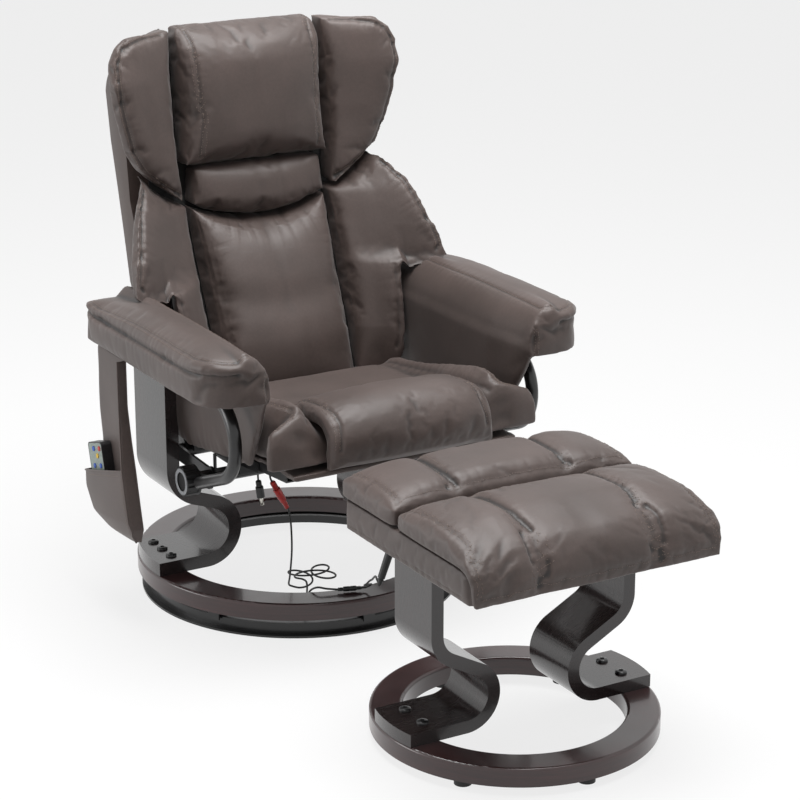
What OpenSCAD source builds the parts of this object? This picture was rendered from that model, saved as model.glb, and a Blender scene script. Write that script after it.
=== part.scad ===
/* [Chair base] */
// Outer radius of the wooden ring
ring_r = 300; // [280:2:320]
// Width of the wooden ring's top face
ring_w = 58; // [50:1:62]
// Thickness of the wooden ring
ring_t = 31; // [26:1:34]
// Height of the wooden ring's underside above the floor
ring_z = 36; // [36:1:42]
// Outer radius of the steel swivel track
track_r = 293; // [280:1:296]
// Height of the steel swivel track
track_h = 23; // [22:1:25]
// Diameter of the bearing balls
ball_d = 8; // [7:0.5:9]
// Number of bearing balls
ball_count = 16; // [12:2:20]

/* [Chair legs] */
// Front to back width of a leg
leg_w = 130; // [110:2:140]
// Thickness of the bent wood
leg_t = 24.5; // [22:0.5:26]
// Distance of the upright from the middle, to the middle of the wood
leg_x = 265; // [264:1:268]
// Front edge of a leg
leg_y = -27; // [-32:1:-22]
// Middle radius of the lower bend
leg_bend_r = 56; // [50:1:60]
// Distance of the lower bend's centre from the middle
leg_bend_x = 202; // [198:1:206]
// Middle radius of the upper bend
leg_upper_r = 62; // [55:1:66]
// Slope of the stretch between the bends
leg_slant = 20; // [14:1:26]

/* [Arms] */
// Height of the arm's underside
arm_z = 484; // [476:1:492]
// Height of the padded band below the arm pad
band_h = 54; // [48:1:60]
// Thickness of the arm pad at its crown
arm_pad_t = 38; // [32:1:44]
// Distance of the arm's outer edge from the middle
arm_out = 372; // [362:1:380]
// Front of the arm
arm_front = -390; // [-400:1:-380]
// Back of the arm
arm_back = 112; // [100:1:120]
// Distance of the side panel's inner face from the middle
panel_in = 237; // [236:0.5:239]
// Thickness of the side panel
panel_t = 14; // [12:0.5:15]
// Lowest height of the side panel
panel_z = 322; // [318:1:330]

/* [Side hoops and knobs] */
// Outer diameter of the hoop tube
hoop_d = 22; // [20:1:24]
// Distance of the hoops from the middle
hoop_x = 290; // [288:1:293]
// Middle radius of the hoop's bend
hoop_r = 70; // [64:1:72]
// Front to back place of the bend's centre
hoop_y = -260; // [-265:1:-255]
// Height of the bend's centre
hoop_z = 398; // [396:1:400]
// Diameter of a tension knob
knob_d = 54; // [48:1:56]
// Depth of a tension knob
knob_t = 26; // [22:1:28]
// Front to back place of the knobs' axis
knob_y = -152; // [-156:1:-150]
// Height of the knobs' axis
knob_z = 288; // [286:1:290]

/* [Seat] */
// Half width of the seat cushion
seat_hw = 232; // [226:1:234]
// Depth of the seat cushion
seat_l = 415; // [400:1:425]
// Thickness of the side bolsters of the seat
seat_t = 78; // [70:1:84]
// Half width of the raised front roll
roll_hw = 162; // [150:1:166]
// Backward slope of the seat
seat_tilt = 5; // [4:0.5:6]

/* [Backrest] */
// Height of the bottom of the back board
back_z = 372; // [368:1:380]
// Height where the head section begins
back_knee = 700; // [690:1:712]
// Height of the top of the back board
back_top = 985; // [975:1:1000]
// Half width of the back board
back_hw = 196; // [186:1:200]
// Backward lean of the lower back
lean_low = 23.7; // [21:0.1:25]
// Backward lean of the head section
lean_high = 7; // [4:0.5:9]
// Thickness of the back board
back_board_t = 12; // [10:1:14]
// Half width of the back's centre panel
back_panel_hw = 137; // [130:1:140]
// Thickness of the centre panel at its crown
back_panel_t = 78; // [70:1:84]
// Depth of the shell behind the back board
shell_d = 58; // [52:1:64]

/* [Hand control] */
// Width of the hand control
remote_w = 62; // [56:1:64]
// Thickness of the hand control
remote_t = 19; // [16:1:22]
// Length of the hand control
remote_l = 118; // [110:1:122]

/* [Footstool] */
// Outer radius of the footstool's ring
stool_ring_r = 233; // [222:1:240]
// Width of the footstool ring's top face
stool_ring_w = 54; // [48:1:58]
// Thickness of the footstool's ring
stool_ring_t = 31; // [26:1:34]
// Height of the rubber feet
stool_foot_h = 15.5; // [12:0.5:18]
// Front to back width of a footstool leg
stool_leg_w = 112; // [100:1:120]
// Thickness of the footstool's bent wood
stool_leg_t = 21.5; // [20:0.5:24]
// Distance of a footstool upright from its middle
stool_leg_x = 178; // [174:1:184]
// Height of the footstool board's underside
stool_board_z = 335; // [328:1:345]
// Thickness of the upholstered board
stool_board_t = 50; // [44:1:56]
// Half width of the upholstered board
stool_hw = 222; // [214:1:228]
// Half depth of the upholstered board
stool_hl = 192; // [186:1:198]
// Thickness of the footstool's pads at their crown
stool_pad_t = 56; // [50:1:62]

/* [Hidden] */
$fn = 64;

// General
eps = 0.5;
over = 2;
// Overlap of a straight stretch into its bend, and how much thinner it is there
lap = 1;
flat_in = 0.05;
gap = 0.3;
soft_gap = 0.6;
fit_gap = 0.05;
wood = [0.16, 0.09, 0.08];
steel = [0.07, 0.07, 0.08];
hide = [0.27, 0.23, 0.22];
rubber = [0.05, 0.05, 0.05];

// Swivel track and its inner race
track_flange_t = 4;
track_flange_w = 12;
track_wall_t = 4;
race_gap = 3;
race_w = 12;
ball_seat_share = 0.32;
ball_z = 12;
ball_r = ball_d / 2;
ball_track_r = track_r - track_flange_w - track_wall_t;
ball_path_r = ball_track_r + ball_d * ball_seat_share - ball_r - fit_gap;
race_out_r = ball_path_r - ball_r + ball_d * ball_seat_share - fit_gap;
race_z = 5;
cage_t = 1.5;
post_w = 22;
post_t = 4;
post_angles = [210, 267, 30, 120];
post_pad_t = 3;
post_pad_in = 246;
post_screw_r = 254;
post_screw_d = 5;
post_screw_l = 15;
cage_rim = 0.8;
edge_r = 5;

// Leg shape
leg_foot_z = ring_z + ring_t;
leg_foot_mid = leg_foot_z + leg_t / 2;
leg_foot_share = 0.995;
screw_d = 8;
screw_head_d = 19;
screw_head_h = 3;
screw_x = 262;
screw_pitch = 38;
screw_l = leg_t + ring_t * 0.7;

// Side hoop: bend, straight tail and lugs
hoop_fall = 21.6;
hoop_swell = 0.1;
hoop_top_l = 26;
hoop_tail_l = 104;
hoop_tab_t = arm_z - hoop_z - hoop_r - hoop_d / 2 + over;
hoop_tab_w = 24;
hoop_tab_l = 34;
lug_t = 8;
lug_r = 15;
lug_x = hoop_x - hoop_d / 2 - lug_t + over;
hoop_bolt_d = 8;
hoop_bolt_l = 24;

// Cross tubes and their plates
tube_d = 25;
tube_wall = 2;
rear_tube_y = 30;
rear_tube_z = 276;
plate_t = 5;
plate_h = 28;
plate_x = leg_x - leg_t / 2 - plate_t;
stud_d = 10;
stud_l = 52;
strut_d = 6;
strut_x = 243;
flange_t = 4;
flange_d = 44;
bracket_x = 214;
saddle_w = 34;
knob_stud_l = 40;
knob_flutes = 12;
knob_flute_r = 5;
knob_dish = 2;

// Arm outline
arm_front_r = 62;
arm_back_r = 16;
arm_in_r = 10;
band_over = 4;
pad_seam_gap = 0.6;
arm_pad_in = 264;
arm_drop = 20;
arm_edge_share = 0.42;
panel_back = 140;
panel_front_z = [510, 414, 350];
panel_front_y = [-391, -344, -304];
panel_low_y = -60;
panel_low_z = panel_z - 8;
panel_back_z = 330;

// Seat stack
seat_y = 20;
seat_z = 315;
seat_board_t = 12;
rail_h = 22;
rail_w = 22;
rail_wall = 2.5;
rail_x = 190;
rail_l = 345;
rail_back = -12;
slide_gap = 0.5;
guide_wall = 3;
guide_l = 282;
guide_y = 22;
push_t = 6;
push_l = 70;
push_back = 35.6;
push_out = 212.5;
board_hw = 216;
board_l = 392;
seat_edge = 34;
seat_channel = 9;
seat_set = 2;
channel_share = 0.703;
cross_share = 0.1;
bolster_reach = 5;
nose_hw = 275;
nose_l = 22;
nose_rise = 43;
nose_from = 0.6;
nose_ramp = 1.6;
roll_t = 45;
roll_edge = 19;
roll_hang = 7;
roll_low_z = 62;
roll_fold_r = 30;
roll_front_l = roll_low_z - roll_fold_r + roll_hang;
roll_rear_y = -281;
roll_top_l = seat_l + roll_rear_y - roll_fold_r;

// Backrest
board_y0 = 45;
hinge_y = 62;
hinge_z = 352;
pin_d = 10;
ear_x = 208;
ear_t = 5;
ear_r = 14;
horn_l = 47;
horn_w = 12;
back_bar_low = 30;
back_bar_h = 20;
back_bar_t = 17;
wing_t = 46;
head_wing_t = 44;
pillow_t = 84;
pillow_hw = 146;
pillow_z = 760;
pillow_top = 1008;
neck_t = 68;
neck_dip = 28;
neck_z = 690;
shell_hw = 235;
shell_r = 90;
shell_wall = 5;

pin_head_t = 2;
pin_head_d = 16;
shell_z = 406;
shell_rim = 1;
shell_shares = [[0, 0.5], [0.06, 0.95], [0.25, 1.15], [0.4, 0.85], [0.54, 0.7], [0.68, 0.92],
                [0.83, 1], [0.93, 0.6], [1, 0.3]];
back_pad_z = 381;
back_edge = 40;
back_channel = 8;
neck_edge = 46;
head_edge = 52;
pillow_corner = 30;
// Lower wing rows: height, then inner edge, outer edge, seam depth and outer depth
wing_z = 398;
wing_top = 752;
wing_rows = [398, 406, 424, 450, 500, 545, 567, 577, 591, 625, 665, 690, 712, 732, 746, 752];
wing_in = [[398, 139], [690, 141], [695, 150], [728, 202], [752, 234]];
wing_out = [[398, 208], [410, 222], [432, 228], [567, 231], [577, 300], [591, 317], [625, 309],
            [705, 280], [752, 243]];
wing_seam = [[398, 44], [690, 48], [752, 66]];
wing_reach = [[398, 60], [420, 84], [500, 108], [567, 122], [577, 158], [625, 156], [705, 138], [752, 92]];
// Head wing rows, in the same order
head_wing_z = 700;
head_wing_top = 1004;
head_rows = [700, 706, 728, 764, 800, 866, 923, 960, 985, 998, 1004];
head_in = [[700, 146], [760, 148], [1004, 149]];
head_out = [[700, 156], [728, 199], [764, 245], [800, 266], [866, 284], [923, 293], [960, 290], [985, 275],
            [1004, 250]];
head_reach = [[700, 68], [764, 73], [866, 93], [923, 103], [1004, 92]];

// Motors
motor_heights = [110, 240];
motor_d = 46;
motor_t = 20;
motor_lug_w = 12;
motor_lug_t = 3;

// Footstool
stool_x = -11;
stool_y = -753;
stool_ring_z = stool_foot_h;
stool_leg_foot_z = stool_ring_z + stool_ring_t;
stool_bend_r = 48.7;
stool_bend_x = 123;
stool_upper_r = 46.6;
stool_slant = 28;
stool_foot_d = 28;
stool_foot_angles = [215, 270, 35, 93, 155, 325];
stool_screw_x = 187;
stool_screw_pitch = 54;

stool_pad_y = -780;
stool_screw_l = stool_leg_t + stool_ring_t * 0.7;
stool_corner_r = 16;
stool_split_y = -753;
stool_bulge = 11;
stool_edge = 30;
stool_front_t = 28;
stool_fold_r = 24;
stool_channel = 10;
stool_channel_share = 0.45;
stool_us = concat([-1, -0.95, -0.82, -0.62, -0.52], -stool_channel_share, [-0.38, -0.2, 0],
                  [0.2, 0.38, stool_channel_share, 0.52, 0.62, 0.82, 0.95, 1]);

// Pouch, hand control and its buttons
pouch_wall = 3;
pouch_inset = 18;
pocket_t = remote_t + 2 * (eps + pouch_wall);
// Outline of the pouch below the arm, front to back place and height: strap, pocket, strap
pouch_shape = [[-41, 400], [-54, 340], [-70, 278], [-83, 225], [-92, 190], [-84, 166], [-35, 158], [58, 178],
               [95, 214], [96, 246], [68, 308], [78, 365]];
strap_front = -41;
strap_back = 77;
mouth_l = 8;
remote_x = pouch_inset - arm_out - pocket_t / 2;
remote_y = 45;
remote_z = 252;
remote_lean = -16;
remote_r = 8;
remote_wall = 2;
face_t = 2;
button_d = 9;
// Places of the buttons on the face, across and up from its middle
button_shares = [[0.18, 0.8], [-0.66, 0.8], [-0.26, 0.58], [-0.56, 0.28], [0.34, 0.28]];
button_out = 1.5;
button_l = 9;

// Control box
box_x = -100;
box_w = 130;
box_l = 132;
box_z = 262;
box_h = 28;
box_r = 6;
exit_l = 3;
stub_x = -87;
stub_y = -60;
dc_x = -149;
dc_z = 277;

// Leads and plugs
lead_d = 3.6;
lead_r = lead_d / 2;
lead_sides = 8;
plug_d = 14;
dc_top = [-149, -129, 255];
dc_low = [-142, -129, 207];
dc_path = [[-149, -118.3, 277], [-149, -121.4, 277], [-149, -127.6, 271], [-149.4, -129, 262],
           [-149, -129, 255]];
red_d = 14;
red_top = [-87, -60, 220];
red_low = [-57, -60, 164];
stub_path = [[-87, -60, 259], [-87, -60, 252], [-91, -60, 238], [-90, -60, 226], [-87, -60, 220]];
drop_path = [[-57, -60, 164], [-54, -60, 158], [-50, -60, 130], [-49, -60, 80], [-51, -55, 30],
             [-48, -44, 8], [-42, -45.6, 3], [-36.3, -56, 2.8]];
bundle_x = 7;
bundle_y = -31;
bundle_z = 2.8;
bundle_r = 50;
bundle_turn = 210;
bundle_rise = 4.6;
run_path = [[-31, -64, 21.5], [-30, -80, 20], [-46, -110, 10], [-74, -150, 8], [-94, -184, 20], [-97, -206, 48],
            [-95, -218, 67], [-88, -231, 76], [-76, -242, 75], [-58, -251, 73]];
coupler_a = [-58, -251, 73];
coupler_b = [-18, -264.3, 73];
coupler_d = 9;
stool_path = [[-17.6, -264.4, 73], [-10, -268, 74], [-8, -282, 84], [-37, -310, 98], [-56, -350, 118],
              [-78, -400, 146], [-101, -450, 171], [-126, -500, 197], [-151, -550, 222], [-177, -600, 241],
              [-186, -622, 244], [-183, -625, 252]];
stool_plug_top = [-152.1, -625, 332.1];
stool_plug_low = [-183, -625, 252];
stool_plug_d = 15;

// Shared shapes
function smooth(x) = let (c = min(1, max(0, x))) c * c * (3 - 2 * c);
function mix(a, b, s) = a + (b - a) * s;
function swell(u, v, p) = sqrt(max(0, (1 - pow(abs(u), p)) * (1 - pow(abs(v), p))));
function groove(x, at, w) = exp(-pow((x - at) / w, 2));
function spread(n) = [for (i = [0 : n]) sin(90 * (2 * i / n - 1))];
// Height or place read from a table of [at, value] rows
function read_row(t, x, i) =
    x <= t[i][0] || i == len(t) - 1 ? i : read_row(t, x, i + 1);
function read_table(t, x) =
    let (i = max(1, read_row(t, x, 0)), a = t[i - 1], b = t[i], s = (x - a[0]) / (b[0] - a[0]))
    mix(a[1], b[1], min(1, max(0, s)));
// How far a rounded corner of radius r draws in at distance d from its end
function corner_in(d, r) = d >= r ? 0 : r - sqrt(max(0, r * r - (r - d) * (r - d)));
// Path that runs down a front, round an edge of radius r and back along a top
function fold_at(s, l_front, r, l_top) =
    let (arc = r * PI / 2, total = l_front + arc + l_top)
    s < l_front ? [-l_top - r, s - l_front - r, -1, 0]
    : s < l_front + arc
        ? let (a = 90 * (s - l_front) / arc) [-l_top - r * cos(a), r * sin(a) - r, -cos(a), sin(a)]
        : [s - total, 0, 0, 1];
function fold_length(l_front, r, l_top) = l_front + r * PI / 2 + l_top;

// Closed pad between two surfaces: place(u, v, t) turns a grid place and a height into a point
module pad(place, front, back, us, vs) {
    n = len(us);
    m = len(vs);
    top = [for (v = vs) for (u = us) place(u, v, front(u, v))];
    low = [for (v = vs) for (u = us) place(u, v, back(u, v))];
    t = function (i, j) j * n + i;
    b = function (i, j) n * m + j * n + i;
    faces = [
        for (j = [0 : m - 2]) for (i = [0 : n - 2])
            each [[t(i, j), t(i, j + 1), t(i + 1, j + 1)], [t(i, j), t(i + 1, j + 1), t(i + 1, j)],
                  [b(i, j), b(i + 1, j), b(i + 1, j + 1)], [b(i, j), b(i + 1, j + 1), b(i, j + 1)]],
        for (i = [0 : n - 2])
            each [[b(i, 0), t(i, 0), t(i + 1, 0)], [b(i, 0), t(i + 1, 0), b(i + 1, 0)],
                  [b(i + 1, m - 1), t(i + 1, m - 1), t(i, m - 1)],
                  [b(i + 1, m - 1), t(i, m - 1), b(i, m - 1)]],
        for (j = [0 : m - 2])
            each [[b(0, j + 1), t(0, j + 1), t(0, j)], [b(0, j + 1), t(0, j), b(0, j)],
                  [b(n - 1, j), t(n - 1, j), t(n - 1, j + 1)],
                  [b(n - 1, j), t(n - 1, j + 1), b(n - 1, j + 1)]]
    ];
    polyhedron(points = concat(top, low), faces = faces, convexity = 6);
}

// Flat outline with its own radius at the outer front and back corners and at the inner ones
module plan_outline(x0, x1, y0, y1, r_front, r_back, r_in) {
    difference() {
        translate([x0, y0]) square([x1 - x0, y1 - y0]);
        corner_cut(x1, y0, r_front, 1, -1);
        corner_cut(x1, y1, r_back, 1, 1);
        corner_cut(x0, y0, r_in, -1, -1);
        corner_cut(x0, y1, r_in, -1, 1);
    }
}
module corner_cut(x, y, r, sx, sy) {
    difference() {
        translate([x - (sx > 0 ? r : over), y - (sy > 0 ? r : over)]) square(r + over);
        translate([x - sx * r, y - sy * r]) circle(r);
    }
}
// Part of a flat ring between two angles less than 180 degrees apart
module arc_strip(r, t, a0, a1) {
    far = (r + t) / cos((a1 - a0) / 2);
    intersection() {
        difference() {
            circle(r + t / 2);
            circle(r - t / 2);
        }
        polygon([[0, 0], [far * cos(a0), far * sin(a0)],
                 [far * cos((a0 + a1) / 2) * 1.6, far * sin((a0 + a1) / 2) * 1.6],
                 [far * cos(a1), far * sin(a1)]]);
    }
}
module turn_to_yz() { rotate([90, 0, 90]) children(); }
module mirrored(side) { mirror([side < 0 ? 1 : 0, 0, 0]) children(); }
module tube(l, d, wall) {
    difference() {
        cylinder(h = l, d = d);
        translate([0, 0, -over]) cylinder(h = l + 2 * over, d = d - 2 * wall);
    }
}

// Bent-wood leg seen from the front: foot, lower bend, slope, upper bend, upright
module bent_strip(t, foot_end, foot_mid, bend_x, bend_r, slant, upper_r, upright_x, top_z) {
    both_r = bend_r + upper_r;
    flat_t = t - 2 * flat_in;
    slope_l = (upright_x - upper_r - bend_x + both_r * sin(slant)) / cos(slant);
    upright_h = top_z - foot_mid - bend_r - slope_l * sin(slant) - both_r * cos(slant);
    translate([bend_x, foot_mid + bend_r]) {
        translate([-lap, -bend_r - flat_t / 2]) square([foot_end - bend_x + lap, flat_t]);
        rotate(slant) {
            arc_strip(bend_r, t, 90, 270 - slant);
            translate([-lap, bend_r - flat_t / 2]) square([slope_l + 2 * lap, flat_t]);
            translate([slope_l, both_r]) {
                arc_strip(upper_r, t, 270, 360 - slant);
                rotate(-slant) translate([upper_r - flat_t / 2, -lap]) square([flat_t, upright_h + lap]);
            }
        }
    }
}

// Swivel base
module track_ring() {
    color(steel) difference() {
        rotate_extrude($fn = 128) {
            translate([track_r - track_flange_w - track_wall_t, 0])
                square([track_flange_w + track_wall_t, track_flange_t]);
            translate([ball_track_r, 0]) square([track_wall_t, track_h]);
        }
        rotate_extrude($fn = 128) translate([ball_path_r, ball_z]) circle(ball_r + fit_gap);
    }
}
module ball_cage() {
    color([0.75, 0.75, 0.78]) for (i = [0 : ball_count - 1])
        rotate(360 * i / ball_count) translate([ball_path_r, 0, ball_z]) sphere(ball_r);
    color([0.6, 0.6, 0.6]) difference() {
        rotate_extrude($fn = 128) translate([ball_path_r - cage_t / 2, ball_z - ball_r - cage_rim])
            square([cage_t, ball_d + 2 * cage_rim]);
        for (i = [0 : ball_count - 1])
            rotate(360 * i / ball_count) translate([ball_path_r - cage_t, 0, ball_z])
                rotate([0, 90, 0]) cylinder(h = 2 * cage_t, r = ball_r + fit_gap);
    }
}
module inner_race() {
    race_top = track_h - race_gap;
    post_in = race_out_r - race_w;
    lip_x = track_r - track_flange_w + race_gap;
    color(steel) difference() {
        union() {
            rotate_extrude($fn = 128) translate([post_in, race_z])
                square([race_w, race_top - race_z]);
            for (a = post_angles) rotate(a) {
                translate([post_in, -post_w / 2, race_top - over])
                    cube([race_w - over, post_w, ring_z - race_top + over]);
                translate([post_pad_in, -post_w / 2, ring_z - post_pad_t])
                    cube([lip_x + post_t - post_pad_in, post_w, post_pad_t]);
                translate([lip_x, -post_w / 2, race_top - over])
                    cube([post_t, post_w, ring_z - race_top + over]);
            }
        }
        rotate_extrude($fn = 128) translate([ball_path_r, ball_z]) circle(ball_r + fit_gap);
        for (a = post_angles) rotate(a)
            translate([post_screw_r, 0, ring_z - post_pad_t - over])
                cylinder(h = post_pad_t + 2 * over, d = post_screw_d + 2 * gap);
    }
}
module base_ring() {
    color(wood) difference() {
        rotate_extrude($fn = 128) difference() {
            translate([ring_r - ring_w, ring_z]) square([ring_w, ring_t]);
            ring_edge_cut(ring_r, ring_z + ring_t, 1, 1);
            ring_edge_cut(ring_r - ring_w, ring_z + ring_t, -1, 1);
        }
        for (side = [-1, 1]) foot_screws(side)
            translate([0, 0, -screw_l - gap]) cylinder(h = screw_l + over, d = screw_d + 2 * gap);
        for (a = post_angles) rotate(a) translate([post_screw_r, 0, ring_z - over])
            cylinder(h = post_screw_l + over, d = post_screw_d + 2 * gap);
    }
}
// Small rounding at an edge of a ring's profile
module ring_edge_cut(x, z, sx, sz) {
    difference() {
        translate([x - (sx > 0 ? edge_r : over), z - edge_r]) square(edge_r + over);
        translate([x - sx * edge_r, z - edge_r]) circle(edge_r, $fn = 32);
    }
}
module foot_screws(side) {
    for (i = [-1 : 1])
        translate([side * screw_x, leg_y + leg_w / 2 + i * screw_pitch, leg_foot_z + leg_t])
            children();
}

// Legs
module chair_leg(side) {
    color(wood) mirrored(side) difference() {
        intersection() {
            translate([0, leg_y + leg_w, 0]) rotate([90, 0, 0]) linear_extrude(leg_w)
                bent_strip(leg_t, ring_r + over, leg_foot_mid, leg_bend_x, leg_bend_r, leg_slant,
                           leg_upper_r, leg_x, arm_z);
            cylinder(h = arm_z, r = ring_r * leg_foot_share, $fn = 128);
        }
        foot_screws(1)
            translate([0, 0, -screw_l - gap]) cylinder(h = screw_l + over, d = screw_d + 2 * gap);
    }
}
module leg_left() { chair_leg(1); }
module leg_right() { chair_leg(-1); }
module screw_shape(l) {
    translate([0, 0, -l]) cylinder(h = l, d = screw_d);
    cylinder(h = screw_head_h, d = screw_head_d);
}
module frame_screws() {
    color(steel) {
        for (side = [-1, 1]) {
            foot_screws(side) screw_shape(screw_l);
            hoop_bolt_place(side) rotate([180, 0, 0]) screw_shape(hoop_bolt_l);
        }
        for (a = post_angles) rotate(a)
            translate([post_screw_r, 0, ring_z - post_pad_t - screw_head_h]) {
                cylinder(h = screw_head_h, d = 2 * post_screw_d);
                cylinder(h = screw_head_h + post_pad_t + post_screw_l - gap, d = post_screw_d);
            }
    }
}

// Side hoops with their lugs, and the plates and tubes that join them
module hoop_bolt_place(side) {
    translate([side * hoop_x, hoop_y + hoop_top_l + hoop_tab_l / 2, arm_z - hoop_tab_t]) children();
}
module side_hoop() {
    tail_at = [hoop_y - hoop_r * sin(hoop_fall), hoop_z - hoop_r * cos(hoop_fall)];
    tail_end = tail_at + hoop_tail_l * [cos(hoop_fall), -sin(hoop_fall)];
    turn_to_yz() translate([0, 0, hoop_x]) {
        translate([hoop_y, hoop_z]) rotate(90) rotate_extrude(angle = 180 - hoop_fall)
            translate([hoop_r, 0]) circle(d = hoop_d);
        translate([hoop_y, hoop_z + hoop_r]) rotate([0, 90, 0])
            cylinder(h = hoop_top_l, d = hoop_d + hoop_swell);
        translate([hoop_y - over / 2, hoop_z + hoop_r]) rotate([0, 90, 0])
            cylinder(h = over, d = hoop_d + hoop_swell);
        translate(tail_at) rotate(-hoop_fall) rotate([0, 90, 0]) translate([0, 0, -over / 2])
            cylinder(h = hoop_tail_l + over / 2, d = hoop_d + hoop_swell);
    }
    turn_to_yz() translate([0, 0, lug_x]) difference() {
        union() {
            translate([knob_y, knob_z]) cylinder(h = lug_t, r = lug_r);
            lug_l = norm(tail_end - [knob_y, knob_z]);
            lug_a = atan2(tail_end.y - knob_z, tail_end.x - knob_y);
            translate([knob_y, knob_z]) rotate(lug_a) translate([0, -lug_r * 0.7])
                cube([lug_l + lug_r, lug_r * 1.4, lug_t]);
        }
        translate([knob_y, knob_z, -over]) cylinder(h = lug_t + 2 * over, d = stud_d + 2 * fit_gap);
    }
    difference() {
        translate([hoop_x - hoop_tab_w / 2, hoop_y, arm_z - hoop_tab_t])
            cube([hoop_tab_w, hoop_top_l + hoop_tab_l, hoop_tab_t]);
        hoop_bolt_place(1) translate([0, 0, -over])
            cylinder(h = hoop_tab_t + 2 * over, d = hoop_bolt_d + 2 * gap);
    }
}
module side_hoops() { color(steel) for (side = [-1, 1]) mirrored(side) side_hoop(); }
module leg_plates() {
    plate_end = [leg_y + plate_h, knob_z + plate_t];
    plate_l = norm(plate_end - [knob_y, knob_z]);
    plate_a = atan2(plate_end.y - knob_z, plate_end.x - knob_y);
    color(steel) for (side = [-1, 1]) mirrored(side)
        turn_to_yz() translate([knob_y, knob_z, plate_x]) linear_extrude(plate_t) difference() {
            union() {
                circle(r = tube_d / 2 + plate_t);
                rotate(plate_a) translate([over, -plate_h / 2]) square([plate_l + plate_t, plate_h]);
            }
            circle(d = tube_d + 2 * fit_gap);
        }
}
module cross_tubes() {
    front_l = 2 * (lug_x - gap);
    rear_l = 2 * (leg_x - leg_t / 2);
    color(steel) {
        translate([-front_l / 2, knob_y, knob_z]) rotate([0, 90, 0]) difference() {
            cylinder(h = front_l, d = tube_d);
            translate([0, 0, stud_l * 1.5])
                cylinder(h = front_l - stud_l * 3, d = tube_d - 2 * tube_wall);
            for (z = [-over, front_l - stud_l])
                translate([0, 0, z]) cylinder(h = stud_l + over, d = stud_d + 2 * fit_gap);
        }
        translate([-rear_l / 2, rear_tube_y, rear_tube_z]) rotate([0, 90, 0]) {
            tube(rear_l, tube_d, tube_wall);
            tube(flange_t, flange_d, (flange_d - tube_d) / 2 + eps);
            translate([0, 0, rear_l - flange_t]) tube(flange_t, flange_d, (flange_d - tube_d) / 2 + eps);
        }
        for (side = [-1, 1]) mirrored(side) {
            hinge_bracket();
            translate([strut_x, knob_y, knob_z + tube_d / 2 - over])
                cylinder(h = panel_low(knob_y) - knob_z - tube_d / 2 + over, d = strut_d);
        }
    }
}
// Bracket that stands on the rear tube and carries the recline pin
module hinge_bracket() {
    bar_l = norm([hinge_y - rear_tube_y, hinge_z - rear_tube_z]);
    bar_a = atan2(hinge_z - rear_tube_z, hinge_y - rear_tube_y);
    turn_to_yz() translate([rear_tube_y, rear_tube_z, bracket_x]) difference() {
        union() {
            rotate(bar_a) translate([0, -ear_r]) cube([bar_l, 2 * ear_r, ear_t]);
            rotate(bar_a) translate([bar_l, 0]) cylinder(h = ear_t, r = ear_r);
        }
        rotate(bar_a) translate([bar_l, 0, -over])
            cylinder(h = ear_t + 2 * over, d = pin_d + 2 * fit_gap);
        translate([0, 0, -over]) cylinder(h = ear_t + 2 * over, d = tube_d - eps);
    }
}
module knob(side) {
    mirrored(side) translate([lug_x + lug_t + gap, knob_y, knob_z]) rotate([0, 90, 0]) {
        color(steel) difference() {
            union() {
                cylinder(h = knob_t, d = knob_d);
                translate([0, 0, -lug_t - gap - knob_stud_l]) cylinder(h = lug_t + knob_stud_l + over, d = stud_d);
            }
            for (i = [0 : knob_flutes - 1]) rotate(360 * i / knob_flutes)
                translate([knob_d / 2 + knob_flute_r * 0.6, 0, knob_t * 0.2])
                    cylinder(h = knob_t, r = knob_flute_r);
            translate([0, 0, knob_t - knob_dish]) cylinder(h = knob_t, d = knob_d * 0.62);
        }
    }
}
module knob_left() { knob(1); }
module knob_right() { knob(-1); }

// Seat slide
module on_seat() { translate([0, seat_y, seat_z]) rotate([-seat_tilt, 0, 0]) children(); }
function seat_line(y) = seat_z + (seat_y - y) * tan(seat_tilt);
module seat_guides() {
    low = -rail_h - slide_gap - guide_wall;
    outer = rail_w + 2 * (slide_gap + guide_wall);
    color(steel) for (side = [-1, 1]) mirrored(side) {
        on_seat() translate([rail_x - outer / 2, guide_y - guide_l, low]) difference() {
            cube([outer, guide_l, rail_h * 0.7 + guide_wall]);
            translate([guide_wall, -over, guide_wall])
                cube([rail_w + 2 * slide_gap, guide_l + 2 * over, rail_h]);
        }
        difference() {
            for (p = [[knob_y, knob_z], [rear_tube_y, rear_tube_z]])
                translate([rail_x - outer / 2, p.x - saddle_w / 2, p.y])
                    cube([outer, saddle_w, seat_line(p.x) + low / cos(seat_tilt) - p.y + eps]);
            for (p = [[knob_y, knob_z], [rear_tube_y, rear_tube_z]])
                translate([rail_x - outer, p.x, p.y]) rotate([0, 90, 0])
                    cylinder(h = 2 * outer, d = tube_d + 2 * fit_gap);
        }
    }
}
module rail(l) {
    rotate([90, 0, 0]) linear_extrude(l) difference() {
        translate([-rail_w / 2, -rail_h]) square([rail_w, rail_h]);
        translate([rail_wall - rail_w / 2, rail_wall - rail_h])
            square([rail_w - 2 * rail_wall, rail_h - 2 * rail_wall]);
    }
}
module seat_frame() {
    color(steel) on_seat() {
        for (side = [-1, 1]) translate([side * rail_x, rail_back, 0]) rail(rail_l);
        for (y = [rail_back - rail_w, rail_back - rail_l])
            translate([-rail_x, y, -push_t]) cube([2 * rail_x, rail_w, push_t]);
        for (side = [-1, 1]) mirrored(side) translate([rail_x, push_back - push_l, -push_t])
            cube([push_out - rail_x, push_l, push_t]);
    }
}
module seat_board() {
    color([0.6, 0.45, 0.3]) on_seat() translate([-board_hw, -board_l, 0])
        cube([2 * board_hw, board_l, seat_board_t]);
}
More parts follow.
